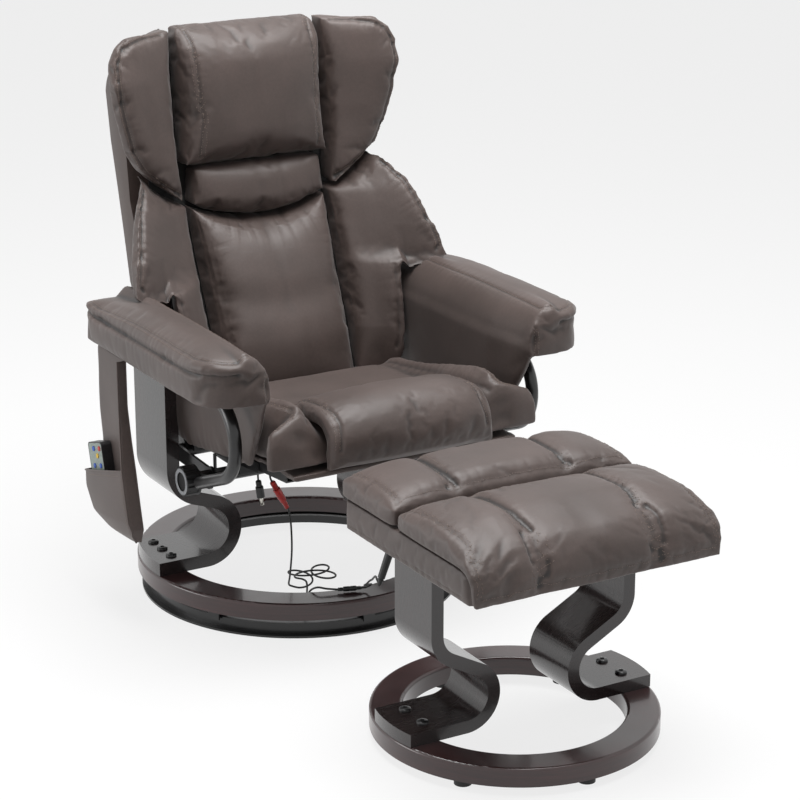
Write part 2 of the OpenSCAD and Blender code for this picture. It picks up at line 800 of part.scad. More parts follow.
// Height of the seat cushion's top, with the channels beside the bolsters and across the middle
function seat_high(u, v) =
    let (bolster = smooth((abs(u) - channel_share) / 0.1),
         body = mix(roll_low_z, seat_t + nose_rise * smooth((nose_from - v) / nose_ramp), bolster),
         cut = seat_channel * (groove(abs(u), channel_share, 0.045) + 0.8 * groove(v, cross_share, 0.06)))
    seat_edge + (body - seat_edge) * swell(u, v, 7) - cut * swell(u, v, 4);
module seat_cushion() {
    place = function (u, v, t)
        let (bolster = smooth((abs(u) - channel_share) / 0.1),
             y = mix(-seat_l - bolster * bolster_reach, 0, (v + 1) / 2),
             nose = smooth((abs(u) - channel_share) / (1 - channel_share))
                 * smooth((-y - seat_l) / nose_l + 1.5),
             side = u * seat_hw * (1 - 0.03 * (1 - v * v)) + sign(u) * nose * (nose_hw - seat_hw))
        [side * (1 - 0.05 * pow(v, 6)), y - seat_set, seat_board_t + t];
    us = concat(-1, -0.97, -0.9, -0.8, -0.74, -channel_share, -0.64, -0.5, -0.25, 0,
                [0.25, 0.5, 0.64, channel_share, 0.74, 0.8, 0.9, 0.97, 1]);
    color(hide) on_seat() pad(place, function (u, v) seat_high(u, v), function (u, v) 0, us, spread(16));
}
module seat_front_roll() {
    total = fold_length(roll_front_l, roll_fold_r, roll_top_l);
    place = function (u, v, t)
        let (p = fold_at(total * (v + 1) / 2, roll_front_l, roll_fold_r, roll_top_l),
             side = roll_hw * (1 - 0.02 * (1 - v * v)),
             low = seat_board_t + roll_low_z + soft_gap)
        [u * side, roll_rear_y - seat_set - 2 * soft_gap + p[0] + p[2] * t, low + p[1] + p[3] * t];
    color(hide) on_seat() pad(place,
        function (u, v) roll_edge + (roll_t - roll_edge) * swell(u, v, 3),
        function (u, v) soft_gap, spread(10), [for (i = [0 : 16]) 2 * i / 16 - 1]);
}
module motor() {
    cylinder(h = motor_t, d = motor_d);
    for (a = [0, 180]) rotate(a) translate([0, -motor_lug_w / 2, 0])
        cube([motor_d / 2 + motor_lug_w, motor_lug_w, motor_lug_t]);
}
module seat_motors() {
    color(rubber) on_seat() for (side = [-1, 1])
        translate([side * rail_x * 0.45, -board_l * 0.62, 0]) rotate([180, 0, 0]) motor();
}
module control_box() {
    color(rubber) {
        plan_box(box_x - box_w / 2, box_x + box_w / 2, rear_tube_y - tube_d / 2 - box_l,
                 rear_tube_y - tube_d / 2, box_z, box_z + box_h);
        translate([stub_x, stub_y, box_z - exit_l]) cylinder(h = exit_l + eps, r = lead_d);
        translate([dc_x, rear_tube_y - tube_d / 2 - box_l + eps, dc_z]) rotate([90, 0, 0])
            cylinder(h = exit_l + eps, r = lead_d);
    }
}
module plan_box(x0, x1, y0, y1, z0, z1) {
    translate([0, 0, z0]) linear_extrude(z1 - z0)
        plan_outline(x0, x1, y0, y1, box_r, box_r, box_r);
}

// Arms
function panel_low(y) = mix(panel_front_z[2], panel_low_z,
    (y - panel_front_y[2]) / (panel_low_y - panel_front_y[2]));
module arm_body(side) {
    color(hide) mirrored(side) difference() {
        union() {
            translate([0, 0, arm_z]) linear_extrude(band_h)
                plan_outline(panel_in, arm_out - band_over, arm_front, arm_back,
                             arm_front_r, arm_back_r, arm_in_r);
            turn_to_yz() translate([0, 0, panel_in]) linear_extrude(panel_t)
                polygon([[panel_front_y[0], panel_front_z[0]], [panel_front_y[1], panel_front_z[1]],
                         [panel_front_y[2], panel_front_z[2]], [panel_low_y, panel_low_z],
                         [panel_back, panel_back_z], [panel_back, arm_z - band_h],
                         [arm_back - arm_in_r, arm_z + band_h / 2],
                         [panel_front_y[0] + band_over, arm_z + band_h / 2]]);
        }
        hoop_bolt_place(1) cylinder(h = hoop_bolt_l, d = hoop_bolt_d + 2 * gap);
    }
}
module arm_body_left() { arm_body(1); }
module arm_body_right() { arm_body(-1); }
module arm_pad(side) {
    y0 = arm_front - band_over;
    y1 = arm_back + band_over;
    place = function (u, v, t)
        let (y = mix(y0, y1, (v + 1) / 2),
             out = arm_out - max(corner_in(y - y0, arm_front_r), corner_in(y1 - y, arm_back_r)),
             near = arm_pad_in + max(corner_in(y - y0, 2 * arm_in_r), corner_in(y1 - y, 2 * arm_in_r)))
        [mix(near, out, (u + 1) / 2), y, arm_z + band_h + pad_seam_gap + t];
    high = function (u, v)
        let (edge = arm_pad_t * arm_edge_share, crown = arm_pad_t - arm_drop * smooth((v - 0.1) / 0.9))
        edge + (crown - edge) * swell(u, v, 4);
    color(hide) mirrored(side) pad(place, high, function (u, v) 0, spread(8), spread(18));
}
module arm_pad_left() { arm_pad(1); }
module arm_pad_right() { arm_pad(-1); }

// Pouch with the hand control in it
module in_pouch() {
    translate([remote_x, remote_y, remote_z]) rotate([remote_lean, 0, 0]) children();
}
module pouch_outline() {
    polygon(concat([[strap_front, arm_z - gap]], pouch_shape, [[strap_back, arm_z - gap]]));
}
module pouch() {
    color(hide) difference() {
        turn_to_yz() {
            translate([0, 0, remote_x + pocket_t / 2 - pouch_wall])
                linear_extrude(pouch_wall) pouch_outline();
            translate([0, 0, remote_x - pocket_t / 2]) linear_extrude(pocket_t) intersection() {
                pouch_outline();
                translate([remote_y, remote_z]) rotate(remote_lean)
                    translate([-remote_l * 2, mouth_l - remote_l * 4]) square(remote_l * 4);
            }
        }
        in_pouch() translate([-remote_t / 2 - eps, -remote_w / 2 - eps, -remote_l / 2 - eps])
            cube([remote_t + eps + gap, remote_w + 2 * eps, remote_l * 2]);
    }
}
module rounded_bar(x0, x1, w, l, r) {
    translate([x0, 0, 0]) turn_to_yz() linear_extrude(x1 - x0)
        plan_outline(-w / 2, w / 2, -l / 2, l / 2, r, r, r);
}
module remote_shell() {
    color(steel) in_pouch() difference() {
        rounded_bar(-remote_t / 2, remote_t / 2, remote_w, remote_l, remote_r);
        rounded_bar(-remote_t / 2 - over, remote_t / 2 - remote_wall,
                    remote_w - 2 * remote_wall, remote_l - 2 * remote_wall, remote_r - remote_wall);
    }
}
module button_place(i) {
    translate([0, button_shares[i].x * remote_w / 2, button_shares[i].y * remote_l / 2])
        rotate([0, 90, 0]) children();
}
module remote_face() {
    color([0.42, 0.47, 0.44]) in_pouch() difference() {
        rounded_bar(-remote_t / 2, face_t - remote_t / 2, remote_w - 2 * (remote_wall + fit_gap),
                    remote_l - 2 * (remote_wall + fit_gap), remote_r - remote_wall);
        for (i = [0 : len(button_shares) - 1]) button_place(i)
            translate([0, 0, -remote_t]) cylinder(h = remote_t, d = button_d + 2 * fit_gap);
    }
}
module button(i, shade) {
    color(shade) in_pouch() button_place(i) translate([0, 0, -remote_t / 2 - button_out]) {
        cylinder(h = button_l, d = button_d);
        translate([0, 0, button_out + face_t + gap]) cylinder(h = face_t, d = button_d + 2);
    }
}
module power_button() { button(0, [0.2, 0.35, 0.7]); }
module heat_button() { button(1, [0.75, 0.15, 0.12]); }
module zone_button() { button(2, [0.85, 0.75, 0.2]); }
module speed_button() { button(3, [0.2, 0.35, 0.7]); }
module mode_button() { button(4, [0.2, 0.35, 0.7]); }

// Backrest
function board_y(z) = board_y0 + (min(z, back_knee) - back_z) * tan(lean_low)
    + max(z - back_knee, 0) * tan(lean_high);
module on_back() { translate([0, hinge_y, hinge_z]) rotate([-lean_low, 0, 0]) children(); }
board_gap = ((hinge_y - board_y0) * cos(lean_low) + (back_z - hinge_z) * sin(lean_low)) - back_board_t;
module back_line(t0, t1, z0, z1) {
    zs = [z0, back_knee, z1];
    polygon(concat([for (z = zs) [board_y(z) - t0, z]],
                   [for (i = [2 : -1 : 0]) [board_y(zs[i]) - t1, zs[i]]]));
}
module back_frame() {
    board_deep = back_board_t / cos(lean_low);
    color([0.6, 0.45, 0.3]) turn_to_yz() translate([0, 0, -back_hw]) linear_extrude(2 * back_hw)
        back_line(0, -board_deep, back_z, back_top);
    color(steel) {
        on_back() translate([-ear_x - ear_t, -board_gap - eps, back_bar_low])
            cube([2 * (ear_x + ear_t), back_bar_t + eps, back_bar_h]);
        for (side = [-1, 1]) mirrored(side) difference() {
            union() {
                on_back() translate([ear_x, eps - board_gap, 0])
                    cube([ear_t, ear_r - over + board_gap, back_bar_low + back_bar_h / 2]);
                translate([ear_x, hinge_y, hinge_z]) rotate([0, 90, 0]) cylinder(h = ear_t, r = ear_r);
                translate([ear_x, hinge_y - horn_w / 2, hinge_z - horn_l]) cube([ear_t, horn_w, horn_l]);
            }
            translate([ear_x - over, hinge_y, hinge_z]) rotate([0, 90, 0])
                cylinder(h = ear_t + 2 * over, d = pin_d + 2 * fit_gap);
        }
    }
}
module recline_pins() {
    color(steel) for (side = [-1, 1]) mirrored(side)
        translate([ear_x - pin_head_t - gap, hinge_y, hinge_z]) rotate([0, 90, 0]) {
            cylinder(h = bracket_x + ear_t + pin_head_t - ear_x + 2 * gap, d = pin_d);
            cylinder(h = pin_head_t, d = pin_head_d);
            translate([0, 0, bracket_x + ear_t + pin_head_t - ear_x + 2 * gap])
                cylinder(h = pin_head_t, d = pin_head_d);
        }
}
module shell_side(inset) {
    z0 = shell_z + inset;
    z1 = back_top - inset;
    rim = shell_rim + (inset > 0 ? inset : 0);
    zs = [for (s = shell_shares) mix(z0, z1, s[0])];
    polygon(concat([for (z = [z0, back_knee, z1]) [board_y(z) + rim, z]],
                   [for (i = [len(zs) - 1 : -1 : 0])
                       [board_y(zs[i]) + shell_d * shell_shares[i][1] + back_board_t - inset, zs[i]]]));
}
module shell_solid(inset) {
    intersection() {
        turn_to_yz() translate([0, 0, -shell_hw]) linear_extrude(2 * shell_hw) shell_side(inset);
        translate([0, 2 * shell_hw, 0]) rotate([90, 0, 0]) linear_extrude(4 * shell_hw)
            plan_outline(inset - shell_hw, shell_hw - inset, shell_z + inset, back_top - inset,
                         shell_r * 0.5, shell_r, shell_r);
    }
}
module back_shell() {
    color([0.2, 0.16, 0.15]) difference() {
        shell_solid(0);
        shell_solid(shell_wall);
        turn_to_yz() translate([0, 0, -back_hw - gap]) linear_extrude(2 * (back_hw + gap))
            back_line(over, -back_board_t / cos(lean_low) - gap, back_z, back_top + over);
    }
}
module back_motors() {
    color(rubber) on_back() for (side = [-1, 1]) for (z = motor_heights)
        translate([side * back_panel_hw / 2, -board_gap, z]) rotate([-90, 0, 0]) motor();
}
// Place on the back: across, up and forward of the board
function on_board(x, z, t) = [x, board_y(z) - t, z];
function smile(x, hw) = neck_z - neck_dip * (1 - pow(x / hw, 2));
module back_panel() {
    place = function (u, v, t)
        let (x = u * back_panel_hw, z1 = smile(x, back_panel_hw) - soft_gap)
        on_board(x, mix(back_pad_z, z1, (v + 1) / 2), t);
    color(hide) pad(place,
        function (u, v) back_edge + (back_panel_t - back_edge) * swell(u, v, 3)
            - back_channel * groove(v, 0.05, 0.08) * swell(u, v, 4),
        function (u, v) soft_gap, spread(10), spread(12));
}
module back_wing(side) {
    place = function (u, v, t)
        let (z = mix(wing_z, wing_top, (v + 1) / 2),
             x = mix(read_table(wing_in, z), read_table(wing_out, z), (u + 1) / 2))
        on_board(x, z, t);
    reach = function (u, v)
        let (z = mix(wing_z, wing_top, (v + 1) / 2), s = (u + 1) / 2)
        mix(read_table(wing_seam, z), read_table(wing_reach, z), pow(s, 1.3));
    thick = function (u, v) wing_t * (0.5 + 0.5 * swell(u, v, 4));
    us = spread(8);
    vs = [for (z = wing_rows) 2 * (z - wing_z) / (wing_top - wing_z) - 1];
    color(hide) mirrored(side) pad(place,
        function (u, v) reach(u, v) - wing_t * 0.25 * (1 - swell(u, v, 4)),
        function (u, v) mix(soft_gap, max(soft_gap, reach(u, v) - wing_t * 0.25 - thick(u, v) * 0.75),
            smooth((u + 0.75) / 0.7)), us, vs);
}
module back_wing_left() { back_wing(1); }
module back_wing_right() { back_wing(-1); }
module head_wing(side) {
    span = head_wing_top - head_wing_z;
    place = function (u, v, t)
        let (z = mix(head_wing_z, head_wing_top, (v + 1) / 2),
             x = mix(read_table(head_in, z), read_table(head_out, z), (u + 1) / 2))
        on_board(x, z, t);
    reach = function (u, v)
        let (z = mix(head_wing_z, head_wing_top, (v + 1) / 2), s = (u + 1) / 2)
        mix(head_edge, read_table(head_reach, z), pow(s, 1.2));
    vs = [for (z = head_rows) 2 * (z - head_wing_z) / span - 1];
    color(hide) mirrored(side) pad(place,
        function (u, v) reach(u, v) - head_wing_t * 0.25 * (1 - swell(u, v, 4)),
        function (u, v) mix(soft_gap, reach(u, v) - head_wing_t * (0.6 + 0.4 * swell(u, v, 4)),
            smooth((u + 0.75) / 0.7)), spread(8), vs);
}
module head_wing_left() { head_wing(1); }
module head_wing_right() { head_wing(-1); }
module neck_roll() {
    place = function (u, v, t)
        let (x = u * back_panel_hw, z0 = smile(x, back_panel_hw) + soft_gap)
        on_board(x * (1 - 0.03 * (v + 1)), mix(z0, pillow_z - soft_gap * 2, (v + 1) / 2), t);
    color(hide) pad(place,
        function (u, v) neck_edge + (neck_t - neck_edge) * swell(u, v, 2.5),
        function (u, v) soft_gap, spread(10), spread(8));
}
module head_pillow() {
    span = pillow_top - pillow_z;
    place = function (u, v, t)
        let (z = mix(pillow_z, pillow_top, (v + 1) / 2),
             hw = pillow_hw * (1 - 0.02 * (1 - v * v)) - corner_in(pillow_top - z, pillow_corner) * 0.5)
        on_board(u * hw, z, t);
    color(hide) pad(place,
        function (u, v) head_edge - 0.35 * head_edge * smooth((v - 0.6) / 0.4)
            + (pillow_t - head_edge) * swell(u, v, 3),
        function (u, v) soft_gap, spread(10), spread(12));
}

// Footstool
module at_stool() { translate([stool_x, stool_y, 0]) children(); }
module stool_ring() {
    color(wood) at_stool() difference() {
        rotate_extrude($fn = 128) difference() {
            translate([stool_ring_r - stool_ring_w, stool_ring_z]) square([stool_ring_w, stool_ring_t]);
            ring_edge_cut(stool_ring_r, stool_ring_z + stool_ring_t, 1, 1);
            ring_edge_cut(stool_ring_r - stool_ring_w, stool_ring_z + stool_ring_t, -1, 1);
        }
        stool_screw_places()
            translate([0, 0, -stool_screw_l - gap]) cylinder(h = stool_screw_l + over, d = screw_d + 2 * gap);
    }
}
module stool_screw_places() {
    for (side = [-1, 1]) for (i = [-1, 1])
        translate([side * stool_screw_x, i * stool_screw_pitch / 2, stool_leg_foot_z + stool_leg_t])
            children();
}
module stool_feet() {
    color(rubber) at_stool() for (a = stool_foot_angles) rotate(a)
        translate([stool_ring_r - stool_ring_w / 2, 0, 0]) cylinder(h = stool_foot_h, d = stool_foot_d);
}
module stool_leg(side) {
    color(wood) at_stool() mirrored(side) difference() {
        intersection() {
            translate([0, stool_leg_w / 2, 0]) rotate([90, 0, 0]) linear_extrude(stool_leg_w)
                bent_strip(stool_leg_t, stool_ring_r + over, stool_leg_foot_z + stool_leg_t / 2,
                           stool_bend_x, stool_bend_r, stool_slant, stool_upper_r, stool_leg_x,
                           stool_board_z);
            cylinder(h = stool_board_z, r = stool_ring_r * leg_foot_share, $fn = 128);
        }
        stool_screw_places()
            translate([0, 0, -stool_screw_l - gap]) cylinder(h = stool_screw_l + over, d = screw_d + 2 * gap);
    }
}
module stool_leg_left() { stool_leg(1); }
module stool_leg_right() { stool_leg(-1); }
module stool_screws() { color(steel) at_stool() stool_screw_places() screw_shape(stool_screw_l); }
module stool_board() {
    color(hide) difference() {
        translate([stool_x, stool_pad_y, stool_board_z]) linear_extrude(stool_board_t)
            plan_outline(-stool_hw, stool_hw, -stool_hl, stool_hl, stool_corner_r, stool_corner_r,
                         stool_corner_r);
        translate([stool_x - stool_hw - over, 0, 0]) turn_to_yz() linear_extrude(2 * (stool_hw + over))
            corner_cut(stool_pad_y - stool_hl, stool_board_z + stool_board_t, stool_fold_r + over, -1, 1);
    }
}
function stool_cut(u, v) = stool_channel * groove(abs(u), stool_channel_share, 0.05) * swell(u, v, 6);
module stool_pad_near() {
    y0 = stool_split_y + gap;
    y1 = stool_pad_y + stool_hl + stool_bulge;
    place = function (u, v, t)
        [stool_x + u * (stool_hw + stool_bulge * 0.6) * (1 - 0.03 * pow(v, 6)),
         mix(y0, y1, (v + 1) / 2) - stool_bulge * 0.6 * pow(u, 6) * smooth(v),
         stool_board_z + stool_board_t + soft_gap + t];
    color(hide) pad(place,
        function (u, v) stool_edge + (stool_pad_t - stool_edge) * swell(u, v, 4) - stool_cut(u, v),
        function (u, v) 0, stool_us, spread(10));
}
module stool_pad_far() {
    front_l = stool_board_t - stool_fold_r + eps;
    top_l = stool_hl + stool_pad_y * -1 + stool_split_y - stool_fold_r;
    total = fold_length(front_l, stool_fold_r, top_l);
    place = function (u, v, t)
        let (p = fold_at(total * (v + 1) / 2, front_l, stool_fold_r, top_l))
        [stool_x + u * (stool_hw + stool_bulge * 0.6) * (1 - 0.03 * pow(v, 6)),
         stool_split_y - gap + p[0] + p[2] * (t + soft_gap),
         stool_board_z + stool_board_t + p[1] + p[3] * (t + soft_gap)];
    high = function (v) mix(stool_front_t, stool_pad_t, smooth((v + 0.75) / 0.8));
    color(hide) pad(place,
        function (u, v) let (e = min(stool_edge, high(v) * 0.5))
            e + (high(v) - e) * swell(u, v, 4) - stool_cut(u, v) * 0.8,
        function (u, v) 0, stool_us, [for (i = [0 : 18]) 2 * i / 18 - 1]);
}
module stool_motor() {
    color(rubber) translate([stool_x, stool_pad_y, stool_board_z]) rotate([180, 0, 0]) motor();
}

// Leads: one closed tube along a path, its rings turned by a fixed side direction
function unit(v) = v / norm(v);
function path_dir(p, i) = unit(p[min(i + 1, len(p) - 1)] - p[max(i - 1, 0)]);
module lead(p, r, sides, ref) {
    n = len(p);
    rings = [for (i = [0 : n - 1])
        let (d = path_dir(p, i), a = unit(cross(d, ref)), b = cross(d, a))
        for (k = [0 : sides - 1]) p[i] + r * (cos(360 * k / sides) * a + sin(360 * k / sides) * b)];
    sides_f = [for (i = [0 : n - 2]) for (k = [0 : sides - 1])
        let (k2 = (k + 1) % sides, a = i * sides)
        each [[a + k, a + k2, a + sides + k2], [a + k, a + sides + k2, a + sides + k]]];
    cap0 = [for (k = [1 : sides - 2]) [0, k + 1, k]];
    e = (n - 1) * sides;
    cap1 = [for (k = [1 : sides - 2]) [e, e + k, e + k + 1]];
    polyhedron(points = rings, faces = [for (f = concat(sides_f, cap0, cap1)) [f[0], f[2], f[1]]],
               convexity = 10);
}
// Smooth curve through points, k steps between each two
function curve(p, k) = concat([for (i = [0 : len(p) - 2]) for (j = [0 : k - 1])
    let (a = p[max(i - 1, 0)], b = p[i], c = p[i + 1], d = p[min(i + 2, len(p) - 1)], s = j / k)
    0.5 * (2 * b + (c - a) * s + (2 * a - 5 * b + 4 * c - d) * s * s
           + (3 * b - a - 3 * c + d) * s * s * s)], [p[len(p) - 1]]);
function bundle_loop() = [for (i = [0 : 96])
    let (a = 360 * i / 96, r = bundle_r * cos(2 * a), b = bundle_turn + a)
    [bundle_x + r * cos(b), bundle_y + r * sin(b), bundle_z + bundle_rise * a / 90]];
module plug_at(a, b, d0, d1) {
    v = b - a;
    translate(a) rotate([0, acos(v.z / norm(v)), atan2(v.y, v.x)])
        cylinder(h = norm(v), d1 = d0, d2 = d1);
}
module dc_lead() { color(rubber) lead(curve(dc_path, 3), lead_r, lead_sides, [1, 0, 0]); }
module dc_plug() { color(rubber) plug_at(dc_top, dc_low, plug_d, plug_d * 0.8); }
module red_plug() { color([0.6, 0.08, 0.08]) plug_at(red_top, red_low, red_d, red_d * 0.6); }
module lead_stub() { color(rubber) lead(curve(stub_path, 3), lead_r, lead_sides, [0, 1, 0]); }
module lead_drop() { color(rubber) lead(curve(drop_path, 4), lead_r, lead_sides, [1, 0.2, 0]); }
bundle_path = concat(bundle_loop(), curve(run_path, 5));
module lead_bundle() { color(rubber) lead(bundle_path, lead_r, 6, [0, 0, 1]); }
module lead_coupler() {
    color(rubber) difference() {
        plug_at(coupler_a, coupler_b, coupler_d, coupler_d);
        for (s = [1 / 4, 3 / 4]) translate(mix(coupler_a, coupler_b, s))
            rotate([0, 90, atan2(coupler_b.y - coupler_a.y, coupler_b.x - coupler_a.x)]) difference() {
                translate([0, 0, -over / 2]) cylinder(h = over, d = coupler_d + over);
                translate([0, 0, -over]) cylinder(h = 2 * over, d = coupler_d - over);
            }
    }
}
module lead_stool() { color(rubber) lead(curve(stool_path, 5), lead_r, lead_sides, [1, 0, 0.4]); }
module stool_plug() { color(rubber) plug_at(stool_plug_top, stool_plug_low, stool_plug_d, stool_plug_d * 0.8); }

track_ring();
ball_cage();
inner_race();
base_ring();
leg_left();
leg_right();
frame_screws();
leg_plates();
side_hoops();
cross_tubes();
seat_guides();
arm_body_left();
arm_body_right();
arm_pad_left();
arm_pad_right();
pouch();
control_box();
knob_left();
knob_right();
seat_frame();
seat_board();
seat_cushion();
seat_front_roll();
seat_motors();
back_frame();
back_shell();
back_panel();
back_wing_left();
back_wing_right();
head_wing_left();
head_wing_right();
neck_roll();
head_pillow();
back_motors();
recline_pins();
remote_shell();
remote_face();
power_button();
heat_button();
zone_button();
speed_button();
mode_button();
stool_ring();
stool_feet();
stool_leg_left();
stool_leg_right();
stool_screws();
stool_board();
stool_pad_near();
stool_pad_far();
stool_motor();
dc_lead();
dc_plug();
red_plug();
lead_stub();
lead_drop();
lead_bundle();
lead_coupler();
lead_stool();
stool_plug();
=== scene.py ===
import math

import bmesh
import bpy
import numpy
from mathutils import Matrix, Vector
from mathutils.bvhtree import BVHTree


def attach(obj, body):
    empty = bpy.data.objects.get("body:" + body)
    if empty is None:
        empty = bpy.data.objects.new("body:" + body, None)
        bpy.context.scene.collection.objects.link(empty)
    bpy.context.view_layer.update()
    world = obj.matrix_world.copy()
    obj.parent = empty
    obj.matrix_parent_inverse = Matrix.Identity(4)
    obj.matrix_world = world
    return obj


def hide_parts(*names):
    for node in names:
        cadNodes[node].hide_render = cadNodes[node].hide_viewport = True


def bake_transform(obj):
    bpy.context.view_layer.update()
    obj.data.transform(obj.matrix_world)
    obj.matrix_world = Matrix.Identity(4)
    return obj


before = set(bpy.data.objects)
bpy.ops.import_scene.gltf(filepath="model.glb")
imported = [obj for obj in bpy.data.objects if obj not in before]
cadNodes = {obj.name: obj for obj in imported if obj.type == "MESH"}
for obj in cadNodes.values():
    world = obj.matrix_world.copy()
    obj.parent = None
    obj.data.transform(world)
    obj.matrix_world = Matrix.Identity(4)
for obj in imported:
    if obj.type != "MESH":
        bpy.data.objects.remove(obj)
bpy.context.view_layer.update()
scene = bpy.context.scene
mm = 0.001


# Selection, copies and modifiers
def makeActive(piece):
    bpy.ops.object.select_all(action="DESELECT")
    piece.select_set(True)
    bpy.context.view_layer.objects.active = piece


def applyModifiers(piece):
    makeActive(piece)
    for modifier in list(piece.modifiers):
        bpy.ops.object.modifier_apply(modifier=modifier.name)


def meshPiece(name, mesh):
    piece = bpy.data.objects.new(name, mesh)
    scene.collection.objects.link(piece)
    return piece


def copyOfNodes(name, nodes):
    shape = bmesh.new()
    for node in nodes:
        shape.from_mesh(cadNodes[node].data)
    bmesh.ops.remove_doubles(shape, verts=shape.verts, dist=0.02 * mm)
    mesh = bpy.data.meshes.new(name)
    shape.to_mesh(mesh)
    shape.free()
    return meshPiece(name, mesh)


def readPoints(piece, what="co"):
    values = numpy.empty(len(piece.data.vertices) * 3, numpy.float32)
    piece.data.vertices.foreach_get(what, values)
    return values.reshape(-1, 3).astype(float)


def writePoints(piece, points):
    piece.data.vertices.foreach_set("co", points.astype(numpy.float32).ravel())
    piece.data.update()


def finishPiece(piece, body, material, smoothAngle=None):
    piece.data.materials.clear()
    piece.data.materials.append(material)
    makeActive(piece)
    if smoothAngle is None:
        bpy.ops.object.shade_smooth()
    else:
        bpy.ops.object.shade_smooth_by_angle(angle=math.radians(smoothAngle))
    if body:
        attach(piece, body)
    return piece


# Materials
def linear(hexColour):
    parts = [int(hexColour[i:i + 2], 16) / 255 for i in (1, 3, 5)]
    return tuple(c / 12.92 if c <= 0.04045 else ((c + 0.055) / 1.055) ** 2.4 for c in parts) + (1,)


def addNode(tree, kind, settings=None, links=None):
    node = tree.nodes.new(kind)
    for name, value in (settings or {}).items():
        if isinstance(name, str) and hasattr(node, name):
            setattr(node, name, value)
        else:
            node.inputs[name].default_value = value
    for name, socket in (links or {}).items():
        tree.links.new(socket, node.inputs[name])
    return node


def newMaterial(name, settings):
    material = bpy.data.materials.new(name)
    material.use_nodes = True
    tree = material.node_tree
    shader = tree.nodes["Principled BSDF"]
    for socket, value in settings.items():
        shader.inputs[socket].default_value = value
    place = addNode(tree, "ShaderNodeTexCoord").outputs["Object"]
    return material, tree, shader, place


def ramp(tree, factor, stops):
    node = addNode(tree, "ShaderNodeValToRGB", links={"Fac": factor})
    while len(node.color_ramp.elements) < len(stops):
        node.color_ramp.elements.new(0.5)
    for element, (at, colour) in zip(node.color_ramp.elements, stops):
        element.position = at
        element.color = linear(colour)
    return node.outputs["Color"]


def makeLeather(name, colours, grainMm, roughness):
    # Corrected cowhide, embossed and pigment coated: dark satin with a fine pebble and a faint cloudy tone
    material, tree, shader, place = newMaterial(name, {
        "IOR": 1.5, "Sheen Weight": 0.12, "Sheen Roughness": 0.5})
    cloud = addNode(tree, "ShaderNodeTexNoise", {"Scale": 1000 / 140, "Detail": 3.0, "Roughness": 0.5},
                    {"Vector": place})
    speck = addNode(tree, "ShaderNodeTexNoise", {"Scale": 1000 / 5, "Detail": 3.0}, {"Vector": place})
    tone = addNode(tree, "ShaderNodeMix", {0: 0.3}, {2: cloud.outputs["Fac"], 3: speck.outputs["Fac"]})
    base = ramp(tree, tone.outputs[0], [(0.3, colours[0]), (0.5, colours[1]), (0.7, colours[2])])
    # Painted shade from the hollow measure: the colour is darkened in creases, and ridges stay a little lighter as a
    # painted highlight
    fold = addNode(tree, "ShaderNodeAttribute", {"attribute_name": "fold"})
    paintedCreaseShade = ramp(tree, fold.outputs["Fac"],
                [(0.0, "#ffffff"), (0.5, "#f0eeec"), (0.75, "#a8a3a0"), (1.0, "#5c5755")])
    toneAndPaintedShade = addNode(tree, "ShaderNodeMix", {"data_type": "RGBA", "blend_type": "MULTIPLY", 0: 1.0},
                   {6: base, 7: paintedCreaseShade})
    tree.links.new(toneAndPaintedShade.outputs[2], shader.inputs["Base Color"])
    gloss = addNode(tree, "ShaderNodeMapRange", {"To Min": roughness - 0.05, "To Max": roughness + 0.06},
                    {"Value": speck.outputs["Fac"]})
    tree.links.new(gloss.outputs[0], shader.inputs["Roughness"])
    # The real pebble is 0.8 mm wide and wouldn't show, so it is drawn coarser
    pebble = addNode(tree, "ShaderNodeTexVoronoi", {"feature": "DISTANCE_TO_EDGE", "Scale": 1000 / grainMm},
                     {"Vector": place})
    pebbleBump = addNode(tree, "ShaderNodeBump", {"Strength": 0.18, "Distance": 0.22 * mm},
                         {"Height": pebble.outputs["Distance"]})
    drawn = addNode(tree, "ShaderNodeTexNoise", {"Scale": 1000 / 40, "Detail": 4.0, "Roughness": 0.5},
                    {"Vector": place})
    drawnBump = addNode(tree, "ShaderNodeBump", {"Strength": 0.25, "Distance": 1.4 * mm},
                        {"Height": drawn.outputs["Fac"], "Normal": pebbleBump.outputs["Normal"]})
    tree.links.new(drawnBump.outputs["Normal"], shader.inputs["Normal"])
    return material


def makeLacqueredWood(name, colours, grainAxis, roughness):
    # Bent laminated beech, stained mahogany and lacquered: dark, glossy, with long faint grain
    material, tree, shader, place = newMaterial(name, {
        "IOR": 1.5, "Coat Weight": 0.5, "Coat Roughness": 0.1, "Coat IOR": 1.5})
    stretch = [1000 / 7] * 3
    for axis in grainAxis:
        stretch[axis] = 1000 / 160
    grainPlace = addNode(tree, "ShaderNodeMapping", {"Scale": stretch}, {"Vector": place})
    grain = addNode(tree, "ShaderNodeTexNoise", {"Scale": 1.0, "Detail": 6.0, "Roughness": 0.65, "Distortion": 0.6},
                    {"Vector": grainPlace.outputs[0]})
    pores = addNode(tree, "ShaderNodeTexNoise", {"Scale": 4.0, "Detail": 2.0}, {"Vector": grainPlace.outputs[0]})
    tone = addNode(tree, "ShaderNodeMix", {0: 0.3}, {2: grain.outputs["Fac"], 3: pores.outputs["Fac"]})
    base = ramp(tree, tone.outputs[0], [(0.3, colours[0]), (0.55, colours[1]), (0.75, colours[2])])
    tree.links.new(base, shader.inputs["Base Color"])
    gloss = addNode(tree, "ShaderNodeMapRange", {"To Min": roughness, "To Max": roughness + 0.12},
                    {"Value": pores.outputs["Fac"]})
    tree.links.new(gloss.outputs[0], shader.inputs["Roughness"])
    bump = addNode(tree, "ShaderNodeBump", {"Strength": 0.12, "Distance": 0.2 * mm}, {"Height": tone.outputs[0]})
    tree.links.new(bump.outputs["Normal"], shader.inputs["Normal"])
    return material


